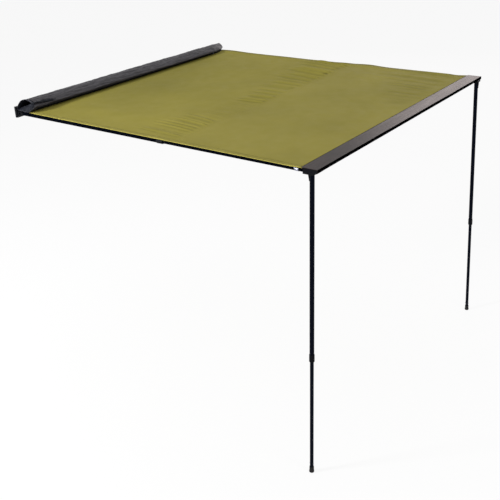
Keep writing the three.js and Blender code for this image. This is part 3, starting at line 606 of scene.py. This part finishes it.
def creaseShape(x, y, spec=canopySheet):
    # the lift at a point, and how much painted shade it gets on the shaded side of a crease
    inner, outer = spec["seamRows"][1::2]
    rise, end = spec["creaseFade"]
    side, wide, full = spec["shadeSide"]
    lift = spec["seamRise"] * (1 - smoothstep(inner, outer, abs(y - crossSeam)))
    shade = 0.0
    for c in creases:
        run = (c["startY"] - y) / (c["startY"] - c["endY"])
        if not 0 < run < 1:
            continue
        centre = between((c["startX"], c["endX"]), run) + c["bow"] * math.sin(math.pi * run)
        away = (x - centre) / c["width"]
        if abs(away) < 4:
            fade = c["height"] * smoothstep(*rise, run) * (1 - smoothstep(*end, run))
            lift += fade * (hump(away) - c["groove"] * hump(away - spec["grooveSide"]))
            shade += fade / full * hump((away + side) / wide)
    return lift, shade


def canopyLift(x, y, spec=canopySheet):
    half = halfWidth(y, x)
    u = 0.5 + 0.5 * x / half
    v = (y - sheetLow.y) / (sheetHigh.y - sheetLow.y)
    edge = min(u, 1 - u, v, 1 - v) / spec["edgeShare"]
    waves = sum(1 + math.sin(2 * math.pi * (a * u + b * v) + c) for a, b, c in spec["mainWaves"])
    lift = smoothstep(1, 3, edge) * spec["mainFold"] * waves
    soft = smoothstep(0.15, 1.2, edge)
    for px, py, wide, long, depth, spacing in spec["wrinklePatches"]:
        reach = ((x - px) / wide) ** 2 + ((y - py) / long) ** 2
        if reach < 4:
            phase = x / spacing + 1.5 * wobble(x * 3, y * 2.2, px * 7)
            fade = math.exp(-1.6 * reach) * (0.55 + 0.45 * wobble(x * 14, y * 3, py * 5))
            crest = 1 - abs(math.sin(math.pi * phase))
            lift += soft * depth * fade * crest * crest
    height, across, along = spec["drape"]
    lift += soft * height * (1 + wobble(x * across, y * along, 3.7))
    lift += smoothstep(0.022, 0.045, half - abs(x)) * creaseShape(x, y)[0]
    return lift + edgeShape(x, y)


def paintedShadeAmount(x, y, spec=canopySheet):
    # painted shade: the bag's shadow in front of it, the shaded sides of the creases and the far edge that turns from
    # the light
    share = sum(hump((x - px) / wide) * hump((y - py) / long) for px, py, wide, long in spec["lay"])
    share += min(spec["creaseLimit"], spec["creaseTone"] * creaseShape(x, y)[1])
    if x > 0:
        amount, wide, *begins = spec["farStrip"]
        share += amount * hump((halfWidth(y, x) - x) / wide) * smoothstep(*begins, y)
    return min(1.0, share)


def rowPlaces(spec):
    # rows lie close where the creases are, and closest at the cross seam
    reach, step = spec["fineRows"]
    front, rear = spec["seamClear"]
    end, clear = spec["endRows"]
    places = {crossSeam + side * d for d in spec["seamRows"] for side in (-1, 1)}
    y = crossSeam + rear
    while y < sheetHigh.y - clear:
        places.add(y)
        y += step if y < crossSeam + reach else spec["rowStep"]
    y = crossSeam - front
    while y > sheetLow.y + clear:
        places.add(y)
        y -= spec["rowStep"]
    return sorted(places | {sheetLow.y, sheetLow.y + end, sheetHigh.y - end, sheetHigh.y})


def makeCanopy(spec):
    columns = spec["columns"]
    shares = sorted({round(i / columns, 5) for i in range(columns + 1)} | set(spec["edgeColumns"]))
    verts = []
    layers = ([], [])
    for y in rowPlaces(spec):
        rows = ([], [])
        for share in shares:
            side = 2 * share - 1
            x = side * halfWidth(y, side)
            z = spec["level"] + canopyLift(x, y)
            for row, offset in zip(rows, (0.5, -0.5)):
                row.append(len(verts))
                verts.append((x, y, z + offset * spec["thickness"]))
        for layer, row in zip(layers, rows):
            layer.append(row)
    top, under = layers
    faces = grid(top) + grid(under, flip=True) + grid([under[0], top[0]]) + grid([top[-1], under[-1]])
    for side, first, last in ((0, under, top), (-1, top, under)):
        faces += grid([[row[side] for row in first], [row[side] for row in last]], flip=True)
    sheet = newPiece("canopySheet", verts, faces, "canopyCloth", "frame", ["canopy"])
    # the attribute lay holds how much painted shade each point gets
    lay = sheet.data.attributes.new("lay", "FLOAT", "POINT")
    lay.data.foreach_set("value", [paintedShadeAmount(v[0], v[1]) for v in verts])
    return sheet


canopyPiece = makeCanopy(canopySheet)
print("canopy ready")


# Rows of stitches and zip teeth, made by geometry nodes

rowForms = {
    "stitch": ("GeometryNodeMeshIcoSphere", {"Radius": 0.5, "Subdivisions": 1}),
    "tooth": ("GeometryNodeMeshCube", {}),
}
rowSizes = {"Pitch": 0.005, "Length": 0.003, "Width": 0.0006, "Height": 0.0006}


def rowTree(name, kind, values):
    tree = bpy.data.node_groups.new(name + "Row", "GeometryNodeTree")
    face = tree.interface
    face.new_socket(name="Geometry", in_out="INPUT", socket_type="NodeSocketGeometry")
    for label, value in rowSizes.items():
        face.new_socket(name=label, in_out="INPUT", socket_type="NodeSocketFloat").default_value = value
    face.new_socket(name="Material", in_out="INPUT", socket_type="NodeSocketMaterial")
    face.new_socket(name="Geometry", in_out="OUTPUT", socket_type="NodeSocketGeometry")
    given = newNode(tree, "NodeGroupInput").outputs
    path = newNode(tree, "GeometryNodeMeshToCurve", {"Mesh": given["Geometry"]})
    pitched = {"Curve": path.outputs["Curve"], "Length": given["Pitch"]}
    points = newNode(tree, "GeometryNodeResampleCurve", pitched, mode="LENGTH")
    tangent = newNode(tree, "GeometryNodeInputTangent").outputs["Tangent"]
    turn = newNode(tree, "FunctionNodeAlignRotationToVector", {"Vector": tangent}, axis="X")
    sides = {"X": given["Length"], "Y": given["Width"], "Z": given["Height"]}
    placing = {
        "Points": points.outputs["Curve"],
        "Instance": newNode(tree, kind, values).outputs["Mesh"],
        "Rotation": turn.outputs["Rotation"],
        "Scale": newNode(tree, "ShaderNodeCombineXYZ", sides).outputs["Vector"],
    }
    put = newNode(tree, "GeometryNodeInstanceOnPoints", placing)
    real = newNode(tree, "GeometryNodeRealizeInstances", {"Geometry": put.outputs["Instances"]})
    dressed = {"Geometry": real.outputs["Geometry"], "Material": given["Material"]}
    paint = newNode(tree, "GeometryNodeSetMaterial", dressed)
    newNode(tree, "NodeGroupOutput", {"Geometry": paint.outputs["Geometry"]})
    return tree


rowTrees = {name: rowTree(name, *form) for name, form in rowForms.items()}


def repeatAlong(name, form, paths, sizes, finish):
    # one form along each path of points, turned into a plain mesh; the sizes are in the order of rowSizes
    mesh = bpy.data.meshes.new(name + "Path")
    verts, edges = [], []
    for path in paths:
        edges += [(len(verts) + i, len(verts) + i + 1) for i in range(len(path) - 1)]
        verts += [tuple(p) for p in path]
    mesh.from_pydata(verts, edges, [])
    source = bpy.data.objects.new(name + "Path", mesh)
    scene.collection.objects.link(source)
    modifier = source.modifiers.new("row", "NODES")
    modifier.node_group = rowTrees[form]
    values = {**dict(zip(rowSizes, sizes)), "Material": finishes[finish]}
    for item in rowTrees[form].interface.items_tree:
        if item.item_type == "SOCKET" and item.in_out == "INPUT" and item.name in values:
            modifier[item.identifier] = values[item.name]
    bpy.context.view_layer.update()
    shown = source.evaluated_get(bpy.context.evaluated_depsgraph_get())
    made = bpy.data.meshes.new_from_object(shown)
    made.name = name
    bpy.data.objects.remove(source)
    return showPiece(name, made, finish, "frame")


# Hems along the canopy's sides

sideHem = {
    "steps": 240,
    "width": 0.026,
    "wall": 0.0011,
    "shoulder": [(0.0009, 0.0002), (0.0002, 0.0008), (0, 0.002)],  # its upper edge: in, and down from the top
    "foot": [(0.0001, 0.0006), (0.0006, 0)],  # its lower edge: in, and up from the bottom
    "outside": 0.0015,  # its outer face beyond the canopy's edge
    "fold": 0.0018,  # below its top, where the drop begins
    "hang": 0.005,  # lower edge of its drop, where the arm isn't under it
    "atEnds": ((-0.16, -0.11), (-2.14, -2.09)),  # where the drop passes into the CAD hem's
    "armLine": (0.985, -0.007, 0.011),  # x, z and radius of the arm
    "armCollar": (0.0136, 0.02),  # its radius, and how far to each side of it the drop rises
    "drop": 0.0012,  # thickness of the drop
    "clear": 0.001,
    "sink": (0.0006, 0.005),  # the top at the stitch rows: how low, and how far to each side
    "puff": 0.0005,
    "sway": 0.00028,
    "stitchRows": (0.004, 0.022),  # in from the outer edge
    "stitchSink": 0.0003,
    "stitchSpan": (0.002, 0.998, 120),  # shares of the hem's length, steps
    "stitch": (0.0046, 0.0036, 0.0012, 0.0008),
}
seamStitches = {
    "apart": 0.0032,  # from the seam to each row
    "short": 0.03,  # how far the rows stop short of each side
    "steps": 400,
    "stitch": (0.0072, 0.0034, 0.0007, 0.0004),
}


def hemSection(top, bottom, spec):
    # points (in from the outer edge, z): over the top, round the edge and back underneath
    wall, middle = spec["wall"], (top + bottom) / 2
    outer, inner = [], []
    low, wide = spec["sink"]
    for inward in spaced(spec["width"], 0, 14):
        fromRow = min(abs(inward - row) for row in spec["stitchRows"])
        outer.append((inward, top - low + spec["puff"] * smoothstep(0, wide, fromRow)))
        inner.append((inward, top - wall))
    outer[-1:] = [(a, top - b) for a, b in spec["shoulder"]]
    outer += [(0, middle)] + [(a, bottom + b) for a, b in spec["foot"]]
    inner = [p for p in inner if p[0] > wall + 0.0004]
    inner += [(wall, top - wall - 0.0006), (wall, middle), (wall - 0.0002, bottom + 0.0004)]
    return outer + inner[::-1]


def hemFloor(x, y, bottom, collar, spec):
    # the drop hangs beside the arm, and stays above the arm, its collar and the brackets
    centre, level, radius = spec["armLine"]
    thick, reach = spec["armCollar"]
    beside = smoothstep(0, reach, max(collar[0].y - y, y - collar[1].y, 0.0))
    radius = between((thick, radius), beside)
    away = min(abs(abs(x) - centre), abs(abs(x) - spec["drop"] - centre))
    over = level + math.sqrt(radius * radius - away * away) if away < radius else level
    floor = max(spec["hang"], over + spec["clear"])
    rear, front = spec["atEnds"]
    return between((floor, max(bottom, floor)), max(smoothstep(*rear, y), 1 - smoothstep(*front, y)))


def makeHem(end, sign, spec):
    low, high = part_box(end + "_canopy_hem")
    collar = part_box(end + "_arm_twist_collar")
    section = hemSection(high.z, low.z, spec)
    bandFoot = high.z - spec["fold"]
    rings = []
    for y in spaced(low.y, high.y, spec["steps"]):
        edge = sign * (halfWidth(y, sign) + spec["outside"])
        ring = []
        for inward, z in section:
            x = edge - sign * inward
            sway = spec["sway"] * wobble(inward * 60, y * 9, sign) if inward > 0.002 else 0.0
            hang = edgeShape(x, y)
            if z < bandFoot:
                foot = hemFloor(edge, y, low.z, collar, spec)
                z = between((bandFoot + hang, foot), (bandFoot - z) / (bandFoot - low.z))
            else:
                z += hang
            ring.append((x, y, z + sway))
        rings.append(ring)
    node = [end + "_canopy_hem"]
    hem = loft(end + "Hem", rings, "hemCloth", node, running(section), axis=1, flip=sign > 0)
    paths = []
    for inward in spec["stitchRows"]:
        path = []
        for share in spaced(*spec["stitchSpan"]):
            y = between((low.y, high.y), share)
            x = sign * (halfWidth(y, sign) + spec["outside"] - inward)
            path.append((x, y, high.z - spec["stitchSink"] + edgeShape(x, y)))
        paths.append(path)
    return [hem, repeatAlong(end + "HemStitches", "stitch", paths, spec["stitch"], "seamThread")]


def makeCrossSeam(sheet, spec):
    top = sheet["level"] + sheet["thickness"] / 2
    paths = []
    for y in (crossSeam - spec["apart"], crossSeam + spec["apart"]):
        half = halfWidth(y, 1) - spec["short"]
        paths.append([(x, y, top + canopyLift(x, y)) for x in spaced(-half, half, spec["steps"])])
    return repeatAlong("crossSeamStitches", "stitch", paths, spec["stitch"], "seamThread")


onCanopy = makeHem("near", -1, sideHem) + makeHem("far", 1, sideHem)
onCanopy.append(makeCrossSeam(canopySheet, seamStitches))
print("hems and seams ready")


# Catches that hang from the corner brackets beside the legs' tops

foldCatch = {
    "top": -0.0192,
    "inset": 0.026,  # from the bracket's outer face to the catch's middle
    "half": 0.005,
    "leg": 0.0135,  # from the leg's middle to the catch's face
    # behind (1) or in front of (-1) the leg, share of the depth
    "near": (1, 1.0),
    "far": (-1, 0.48),
    "sides": 16,
    # down from its top, depth
    "profile": [
        (0, 0.0068), (0.01, 0.0073), (0.022, 0.0052), (0.034, 0.0028), (0.0395, 0.0026),
        (0.0412, 0.0021), (0.042, 0.0012),
    ],
}


def makeCatch(end, side, spec):
    low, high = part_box(end + "_leg_outer_tube")
    middle = side * (max(abs(v.x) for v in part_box(end + "_corner_bracket")) - spec["inset"])
    way, share = spec[end]
    face = (low.y + high.y) / 2 + way * spec["leg"]
    rings = []
    for down, depth in spec["profile"]:
        ring = []
        for turn in turnsOf(spec["sides"]):
            stand = 0.5 + 0.5 * rounded(math.sin(turn), 0.5)
            x = middle + rounded(math.cos(turn), 0.5) * spec["half"]
            ring.append((x, face + way * share * depth * stand, spec["top"] - down))
        rings.append(ring)
    loft(end + "FoldCatch", rings, "moulding", flip=way > 0)


makeCatch("near", -1, foldCatch)
makeCatch("far", 1, foldCatch)


# Black bead along the beam's inner edge, over the canopy: a painted shadow of the beam's step, laid on as a dark strip

grooveBead = {
    "width": 0.0042,
    "height": 0.0019,
    "inset": 0.006,
    "steps": 160,
    "place": 0.0011,  # behind the canopy's front edge
    "rise": 0.0004,
    "wander": 0.0002,
    "section": [(0, 0), (0, 0.55), (0.18, 0.9), (0.5, 1), (0.82, 0.75), (1, 0.15), (1, 0)],
}


def makeShadowBead(spec):
    front = sheetLow.y + spec["place"]
    level = canopySheet["level"] + spec["rise"]
    rings = []
    half = sheetHigh.x - spec["inset"]
    for x in spaced(-half, half, spec["steps"]):
        drift = front + spec["wander"] * wobble(x * 9, 0.3, 0.8)
        rings.append([(x, drift + spec["width"] * a, level + spec["height"] * b) for a, b in spec["section"]])
    # painted shadow: a black strip where the beam's step shades the canopy
    loft("grooveBead", rings, "edgeTrim", across=0.001, flip=True)


makeShadowBead(grooveBead)


# Cords in their sleeves, that hold the canopy in the grooves

ropeCord = {"sides": 18, "steps": 260, "ridge": 0.00012, "lay": 0.018}


def makeRope(node, name, spec):
    low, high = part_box(node)
    middle = (low + high) / 2
    radius = (high.z - low.z) / 2
    turns = turnsOf(spec["sides"])
    rings = []
    for x in spaced(low.x, high.x, spec["steps"]):
        ring = []
        for turn in turns:
            r = radius - spec["ridge"] * (1 + math.sin(3 * turn + 2 * math.pi * x / spec["lay"]))
            ring.append((x, middle.y + r * math.cos(turn), middle.z + r * math.sin(turn)))
        rings.append(ring)
    loft(name, rings, "hemCloth", [node], [turn * radius for turn in turns])


makeRope("canopy_front_keder", "frontKeder", ropeCord)
makeRope("canopy_rear_keder", "rearKeder", ropeCord)


# Storage bag

storageBag = {
    "wall": 0.0014,
    "reach": 0.157,
    "railDepth": 0.018,
    "floor": 0.0142,
    "height": 0.071,
    "mouthSet": 0.034,
    "mouthRise": 0.05,
    "lipLine": ((-0.034, 0.024), (-0.142, 0.07)),
    "lipDepth": 0.012,
    "lipReach": 0.22,
    "lipLift": 0.92,
    "lipEase": 0.1,  # how far in the inner cloth lies back again
    "lipSway": (0.004, 30, 40),  # height, waves along and across
    "lipFold": (0.004, 0.35, 3),  # depth, waves round and across the turned-in edge
    "lipBulge": 0.0025,
    "lipRings": (0.12, 0.3, 0.5, 0.7, 0.88),
    "around": 96,
    "along": 300,
    "farRings": (0.0002, 0.0008, 0.002, 0.004, 0.0073, 0.011, 0.022, 0.035),  # extra rings, in from the far end
    # places on the section, as shares of the reach and of the height
    "topSeam": (0.36, 0.87),
    "zipLine": (0.91, 0.14),
    "topBand": (-9, 6),  # ring steps that the dark top band reaches from the piping, to the rail and to the front
    # share of the reach, share of the height, round the section from the rail's side over the top
    "outline": [
        (0.145, 0.1), (0.19, 0.42), (0.345, 0.84), (0.56, 0.995), (0.77, 0.87), (0.915, 0.62),
        (1.0, 0.37), (0.965, 0.25), (0.83, 0.03), (0.5, 0), (0.2, 0),
    ],
    # distance from the far end, share of the reach, share of the height
    "farEnd": [
        (1.7, 1, 1), (0.95, 1, 0.94), (0.45, 1, 0.87), (0.17, 1, 0.82), (0.0935, 0.86, 0.79),
        (0.022, 0.62, 0.7), (0.0073, 0.54, 0.66), (0, 0.44, 0.56),
    ],
    # depth, waves along and round, place in the noise
    "sags": [(0.0042, 3.0, 0.11, 1.3), (0.002, 13.0, 0.22, 5.1)],
    "round": 84,  # how many places of the noise lie round the section
    # where the folds begin: up from the floor, out from the rail, in from the ends
    "calm": [(0.006, 0.03), (0.03, 0.05), (0, 0.03)],
    "foldDepth": 0.0045,
    "puckerDepth": 0.0023,
    "slack": 0.0005,
}
bagLow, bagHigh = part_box("storage_bag")


def catmull(points, count):
    # evenly spaced points on a closed spline
    dense = []
    n = len(points)
    for k in range(n):
        p = [Vector(points[(k + d) % n]) for d in (-1, 0, 1, 2)]
        t = [0.0]
        for a, b in zip(p, p[1:]):
            t.append(t[-1] + max((b - a).length, 1e-9) ** 0.5)
        for s in range(40):
            u = between(t[1:3], s / 40)

            def mixed(a, b, start, stop):
                return a * ((stop - u) / (stop - start)) + b * ((u - start) / (stop - start))

            near, mid, far = (mixed(p[i], p[i + 1], t[i], t[i + 1]) for i in range(3))
            dense.append(mixed(mixed(near, mid, t[0], t[2]), mixed(mid, far, t[1], t[3]), t[1], t[2]))
    lengths = running(dense + dense[:1])
    out = []
    k = 0
    for i in range(count):
        want = lengths[-1] * i / count
        while lengths[k + 1] < want:
            k += 1
        f = (want - lengths[k]) / max(lengths[k + 1] - lengths[k], 1e-12)
        out.append(dense[k].lerp(dense[(k + 1) % len(dense)], f))
    return out


def inwardAt(ring, i):
    d = ring[(i + 1) % len(ring)] - ring[i - 1]
    return Vector((-d.y, d.x)).normalized()


def bagSection(spec, offset=0.0):
    # (y, z) points round the bag, moved inwards by the offset
    points = [Vector((-spec["reach"] * a, spec["floor"] + spec["height"] * b)) for a, b in spec["outline"]]
    ring = catmull(points, spec["around"])
    for p in ring:
        p.y = max(p.y, spec["floor"])
    return [p + inwardAt(ring, i) * offset for i, p in enumerate(ring)]


def ringStep(spec, place):
    # the section, its step that lies nearest to a place, and the directions along and out of the cloth there
    wanted = Vector((-spec["reach"] * place[0], spec["floor"] + spec["height"] * place[1]))
    ring = bagSection(spec)
    step = min(range(len(ring)), key=lambda i: (ring[i] - wanted).length)
    along = (ring[step + 1] - ring[step - 1]).normalized()
    return ring, step, along, Vector((along.y, -along.x))


def endShares(gap, spec):
    # shares of the reach and of the height at a distance from the far end
    table = spec["farEnd"]
    for (d0, *before), (d1, *after) in zip(table, table[1:]):
        if d1 <= gap < d0:
            f = (gap - d1) / (d0 - d1)
            return [between(pair, f) for pair in zip(after, before)]
    return table[0][1:] if gap >= table[0][0] else table[-1][1:]


def setBack(y, z, spec):
    # how far the mouth's edge lies in from the bag's near end: most at the top of its front
    forward = clamp((-y - spec["railDepth"]) / (spec["reach"] - spec["railDepth"]))
    return spec["mouthSet"] * forward * smoothstep(spec["floor"], spec["floor"] + spec["mouthRise"], z)


def bagRings(spec, offset, stations):
    ring = bagSection(spec, offset)
    rear = max(p.x for p in ring)
    low = min(p.y for p in ring)
    above, beyond, within = spec["calm"]
    rings = []
    for x in stations:
        deep, tall = endShares(bagHigh.x - x, spec)
        fromMouth = x - bagLow.x
        ends = smoothstep(*within, bagHigh.x - x) * smoothstep(*within, fromMouth)
        row = []
        for i, p in enumerate(ring):
            slant = setBack(p.x, p.y, spec) * max(0.0, 1 - fromMouth / (2 * spec["mouthSet"]))
            point = Vector((x + slant, rear + (p.x - rear) * deep, low + (p.y - low) * tall))
            up = smoothstep(*above, p.y - spec["floor"]) * smoothstep(*beyond, -p.x)
            turn = i * spec["round"] / len(ring)
            sag = sum(depth * wobble(x * along, turn * around, seed) for depth, along, around, seed in spec["sags"])
            bend = turn * 0.24 + 1.1 * wobble(x * 2.3, turn * 0.05, 8.1)
            fold = 1 - min(1.0, 3.2 * abs(wobble(x * 5.5, bend, 2.7)))
            pucker = 1 - min(1.0, 3.0 * abs(wobble(x * 16 + turn * 0.35, turn * 0.3, 6.2)))
            depth = abs(sag) + spec["foldDepth"] * fold * fold + spec["puckerDepth"] * pucker * pucker + spec["slack"]
            row.append(point + Vector((0, *inwardAt(ring, i))) * up * ends * depth)
        rings.append(row)
    return rings


def lipPoint(p, spec):
    # near its mouth the lower cloth stands up inside, so that a narrow slanted opening is left
    (y0, z0), (y1, z1) = spec["lipLine"]
    line = between((z0, z1), clamp((p.y - y0) / (y1 - y0)))
    depth = p.x - bagLow.x - setBack(p.y, p.z, spec)
    near = 1 - smoothstep(spec["lipDepth"], spec["lipReach"], depth)
    up = p.copy()
    up.x += spec["lipDepth"] * (1 - smoothstep(0, spec["lipEase"], depth))
    if p.z < line:
        height, along, across = spec["lipSway"]
        sway = height * wobble(p.x * along, p.y * across, 0.5)
        up.z = p.z + (line - p.z) * near * spec["lipLift"] + sway * near
    return up


def lipRing(outer, inner, t, spec):
    # a ring on the turned-in edge of the mouth, from the outer to the inner cloth
    height, around, across = spec["lipFold"]
    ring = []
    for i, (a, b) in enumerate(zip(outer, inner)):
        p = a.lerp(b, t)
        fold = height * wobble(i * around, t * across, 2.2) * min(1.0, (b - a).length / 0.01)
        p.x += spec["lipDepth"] * t * t - spec["lipBulge"] * math.sin(math.pi * t) + max(0.0, fold)
        ring.append(p)
    return ring


def makeBag(spec):
    stations = spaced(bagLow.x, bagHigh.x, spec["along"]) + [bagHigh.x - d for d in spec["farRings"]]
    stations = sorted({round(s, 5) for s in stations})
    outer = bagRings(spec, 0, stations)
    inner = bagRings(spec, spec["wall"], [min(s, bagHigh.x - spec["wall"]) for s in stations])
    inner = [[lipPoint(p, spec) for p in ring] for ring in inner]
    lip = [lipRing(outer[0], inner[0], t, spec) for t in reversed(spec["lipRings"])]
    rings = outer + inner + lip
    verts = [p for ring in rings for p in ring]
    uvs = [(across, p.x) for ring in rings for across, p in zip(running(ring), ring)]
    rows = numbered(rings)
    outerRows, innerRows, lipRows = rows[: len(outer)], rows[len(outer) : -len(lip)], rows[-len(lip) :]
    faces = grid(outerRows, closed=True) + grid(innerRows, closed=True, flip=True)
    faces += grid([innerRows[0]] + lipRows + [outerRows[0]], closed=True)
    for ids, ring, flip in ((outerRows[-1], outer[-1], False), (innerRows[-1], inner[-1], True)):
        centre = sum(ring, Vector()) / len(ring)
        hub = len(verts)
        verts.append(centre)
        uvs.append((0, centre.x))
        for a, b in zip(ids, ids[1:] + ids[:1]):
            faces.append((b, a, hub) if flip else (a, b, hub))
    piece = newPiece("bagShell", verts, faces, "bagCloth", "frame", ["storage_bag"], uvs)
    # painted shade: this darker finish goes on every face but the outer cloth, which means the inside, the turned-in
    # mouth and the end caps
    piece.data.materials.append(finishes["bagLining"])
    piece.data.materials.append(finishes["bagTopBand"])
    seam = ringStep(spec, spec["topSeam"])[1]
    steps = {v: i - seam for row in outerRows for i, v in enumerate(row)}
    rearward, forward = spec["topBand"]
    for polygon in piece.data.polygons:
        if not all(v in steps for v in polygon.vertices):
            polygon.material_index = 1
        elif all(rearward <= steps[v] <= forward for v in polygon.vertices):
            polygon.material_index = 2


makeBag(storageBag)

bagRim = {
    "faces": (0.0003, 0.0017),  # its two faces, out from the bag's cloth
    # in from the mouth, share of the thickness
    "section": [(0, 0), (0.0006, 1), (0.00405, 1.12), (0.0082, 1), (0.009, 0)],
    "mapStep": 0.0045,
    "stitchLine": (0.0062, 0.0015),  # in from the mouth, and down from the bag's floor
    "stitch": (0.005, 0.0034, 0.0008, 0.0007),
}


def makeRim(bag, spec):
    # a folded strip that is sewn round the mouth
    base, top = (bagSection(bag, -o) for o in spec["faces"])
    floor = bag["floor"] - spec["faces"][1]
    rings, uvs = [], []
    for along, thick in spec["section"]:
        ring = []
        for i, (a, b) in enumerate(zip(base, top)):
            p = a + (b - a) * thick
            ring.append((bagLow.x + along + setBack(p.x, p.y, bag), p.x, max(p.y, floor)))
            uvs.append((i * spec["mapStep"], along))
        rings.append(ring)
    rows = numbered(rings)
    verts = [p for ring in rings for p in ring]
    faces = grid(rows + [rows[0]], closed=True)
    newPiece("bagRim", verts, faces, "rimCloth", "frame", ["bag_rim"], uvs)
    x, floor = bagLow.x + spec["stitchLine"][0], bag["floor"] - spec["stitchLine"][1]
    path = [(x + setBack(p.x, p.y, bag), p.x, max(p.y, floor)) for p in top + top[:1]]
    repeatAlong("bagRimStitches", "stitch", [path], spec["stitch"], "bagCloth")


makeRim(storageBag, bagRim)

piping = {"sides": 10, "steps": 240, "ends": (0.04, 0.02), "radius": (0.0016, 0.0022), "stand": 0.0006}


def makePiping(bag, spec):
    # a bound seam that runs along the top of the bag
    seam = ringStep(bag, bag["topSeam"])[1]
    near, far = bagLow.x + spec["ends"][0], bagHigh.x - spec["ends"][1]
    high, wide = spec["radius"]
    rings = []
    for row in bagRings(bag, 0, spaced(near, far, spec["steps"])):
        tangent = (row[seam + 1] - row[seam - 1]).normalized()
        outward = Vector((0, tangent.z, -tangent.y))
        ring = []
        for turn in turnsOf(spec["sides"]):
            p = row[seam] + outward * (spec["stand"] + high * math.cos(turn))
            ring.append(p + tangent * wide * math.sin(turn))
        rings.append(ring)
    loft("bagPiping", rings, "bindingCloth", across=0.001)


makePiping(storageBag, piping)

bagZip = {
    "half": 4,  # ring steps from the zip's middle to the tape's edge
    "faces": (0.0004, 0.0013),  # the tape's two faces, out from the bag's cloth
    "steps": 60,
    "teethOut": 0.0016,
    "teethApart": 0.0011,
    "teethEnd": 0.004,
    "shift": 0.0012,  # the lower row's teeth lie between the upper row's
    "tooth": (0.0032, 0.0016, 0.0032, 0.0014),
}


def makeZip(bag, spec):
    low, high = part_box("zip_tape")
    ring, middle, along, outward = ringStep(bag, bag["zipLine"])
    base, top = (bagSection(bag, -o) for o in spec["faces"])
    span = slice(middle - spec["half"], middle + spec["half"] + 1)
    loop = base[span] + top[span][::-1]
    rings = [[(x, p.x, p.y) for p in loop] for x in spaced(low.x, high.x, spec["steps"])]
    loft("zipTape", rings, "bindingCloth", ["zip_tape"], running(loop))
    for label, side, shift in (("Upper", -1, 0), ("Lower", 1, spec["shift"])):
        p = ring[middle] + outward * spec["teethOut"] + along * side * spec["teethApart"]
        path = [(low.x + spec["teethEnd"] + shift, p.x, p.y), (high.x - spec["teethEnd"], p.x, p.y)]
        repeatAlong("zipTeeth" + label, "tooth", [path], spec["tooth"], "edgeTrim")


makeZip(storageBag, bagZip)

zipPull = {"half": 0.0029, "thick": 0.0011, "folds": 0.0003, "bow": 0.0012, "sides": 16, "steps": 40}


def makePull(bag, spec):
    # a strip of webbing, folded through the slider and sewn to itself
    low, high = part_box("zip_pull")
    along, outward = ringStep(bag, bag["zipLine"])[2:]
    centre = ((low + high) / 2).yz
    rings = []
    for t in spaced(0, 1, spec["steps"]):
        half = spec["half"] * math.sqrt(max(0.02, 1 - max(0.0, 1 - t / 0.1) ** 2))
        thick = spec["thick"] + spec["folds"] * math.cos(2 * math.pi * t * 3)
        bow = outward * spec["bow"] * math.sin(math.pi * t)
        ring = []
        for turn in turnsOf(spec["sides"]):
            side = rounded(math.cos(turn), 0.5) * half
            p = centre + along * side + outward * rounded(math.sin(turn), 0.7) * thick + bow
            ring.append((between((low.x, high.x), t), p.x, p.y))
        rings.append(ring)
    loft("zipPull", rings, "bindingCloth", ["zip_pull"], 0.0006, body="zip", flip=True)


makePull(storageBag, zipPull)

bagKeder = {"cord": 0.0024, "inset": 0.0025, "strip": 0.0009, "round": 158, "sides": 14, "steps": 200}


def makeBagKeder(spec):
    # a cord in a folded strip, that slides into the rail's upper groove
    low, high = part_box("bag_keder")
    centreY, centreZ = high.y - spec["inset"], (low.z + high.z) / 2
    section = [(low.y, centreZ - spec["strip"]), (low.y, centreZ + spec["strip"])]
    for turn in map(math.radians, spaced(spec["round"], -spec["round"], spec["sides"])):
        section.append((centreY + spec["cord"] * math.cos(turn), centreZ + spec["cord"] * math.sin(turn)))
    rings = [[(x, y, z) for y, z in section] for x in spaced(low.x, high.x, spec["steps"])]
    loft("bagKeder", rings, "bindingCloth", ["bag_keder"], 0.001, flip=True)


makeBagKeder(bagKeder)
print("bag ready")
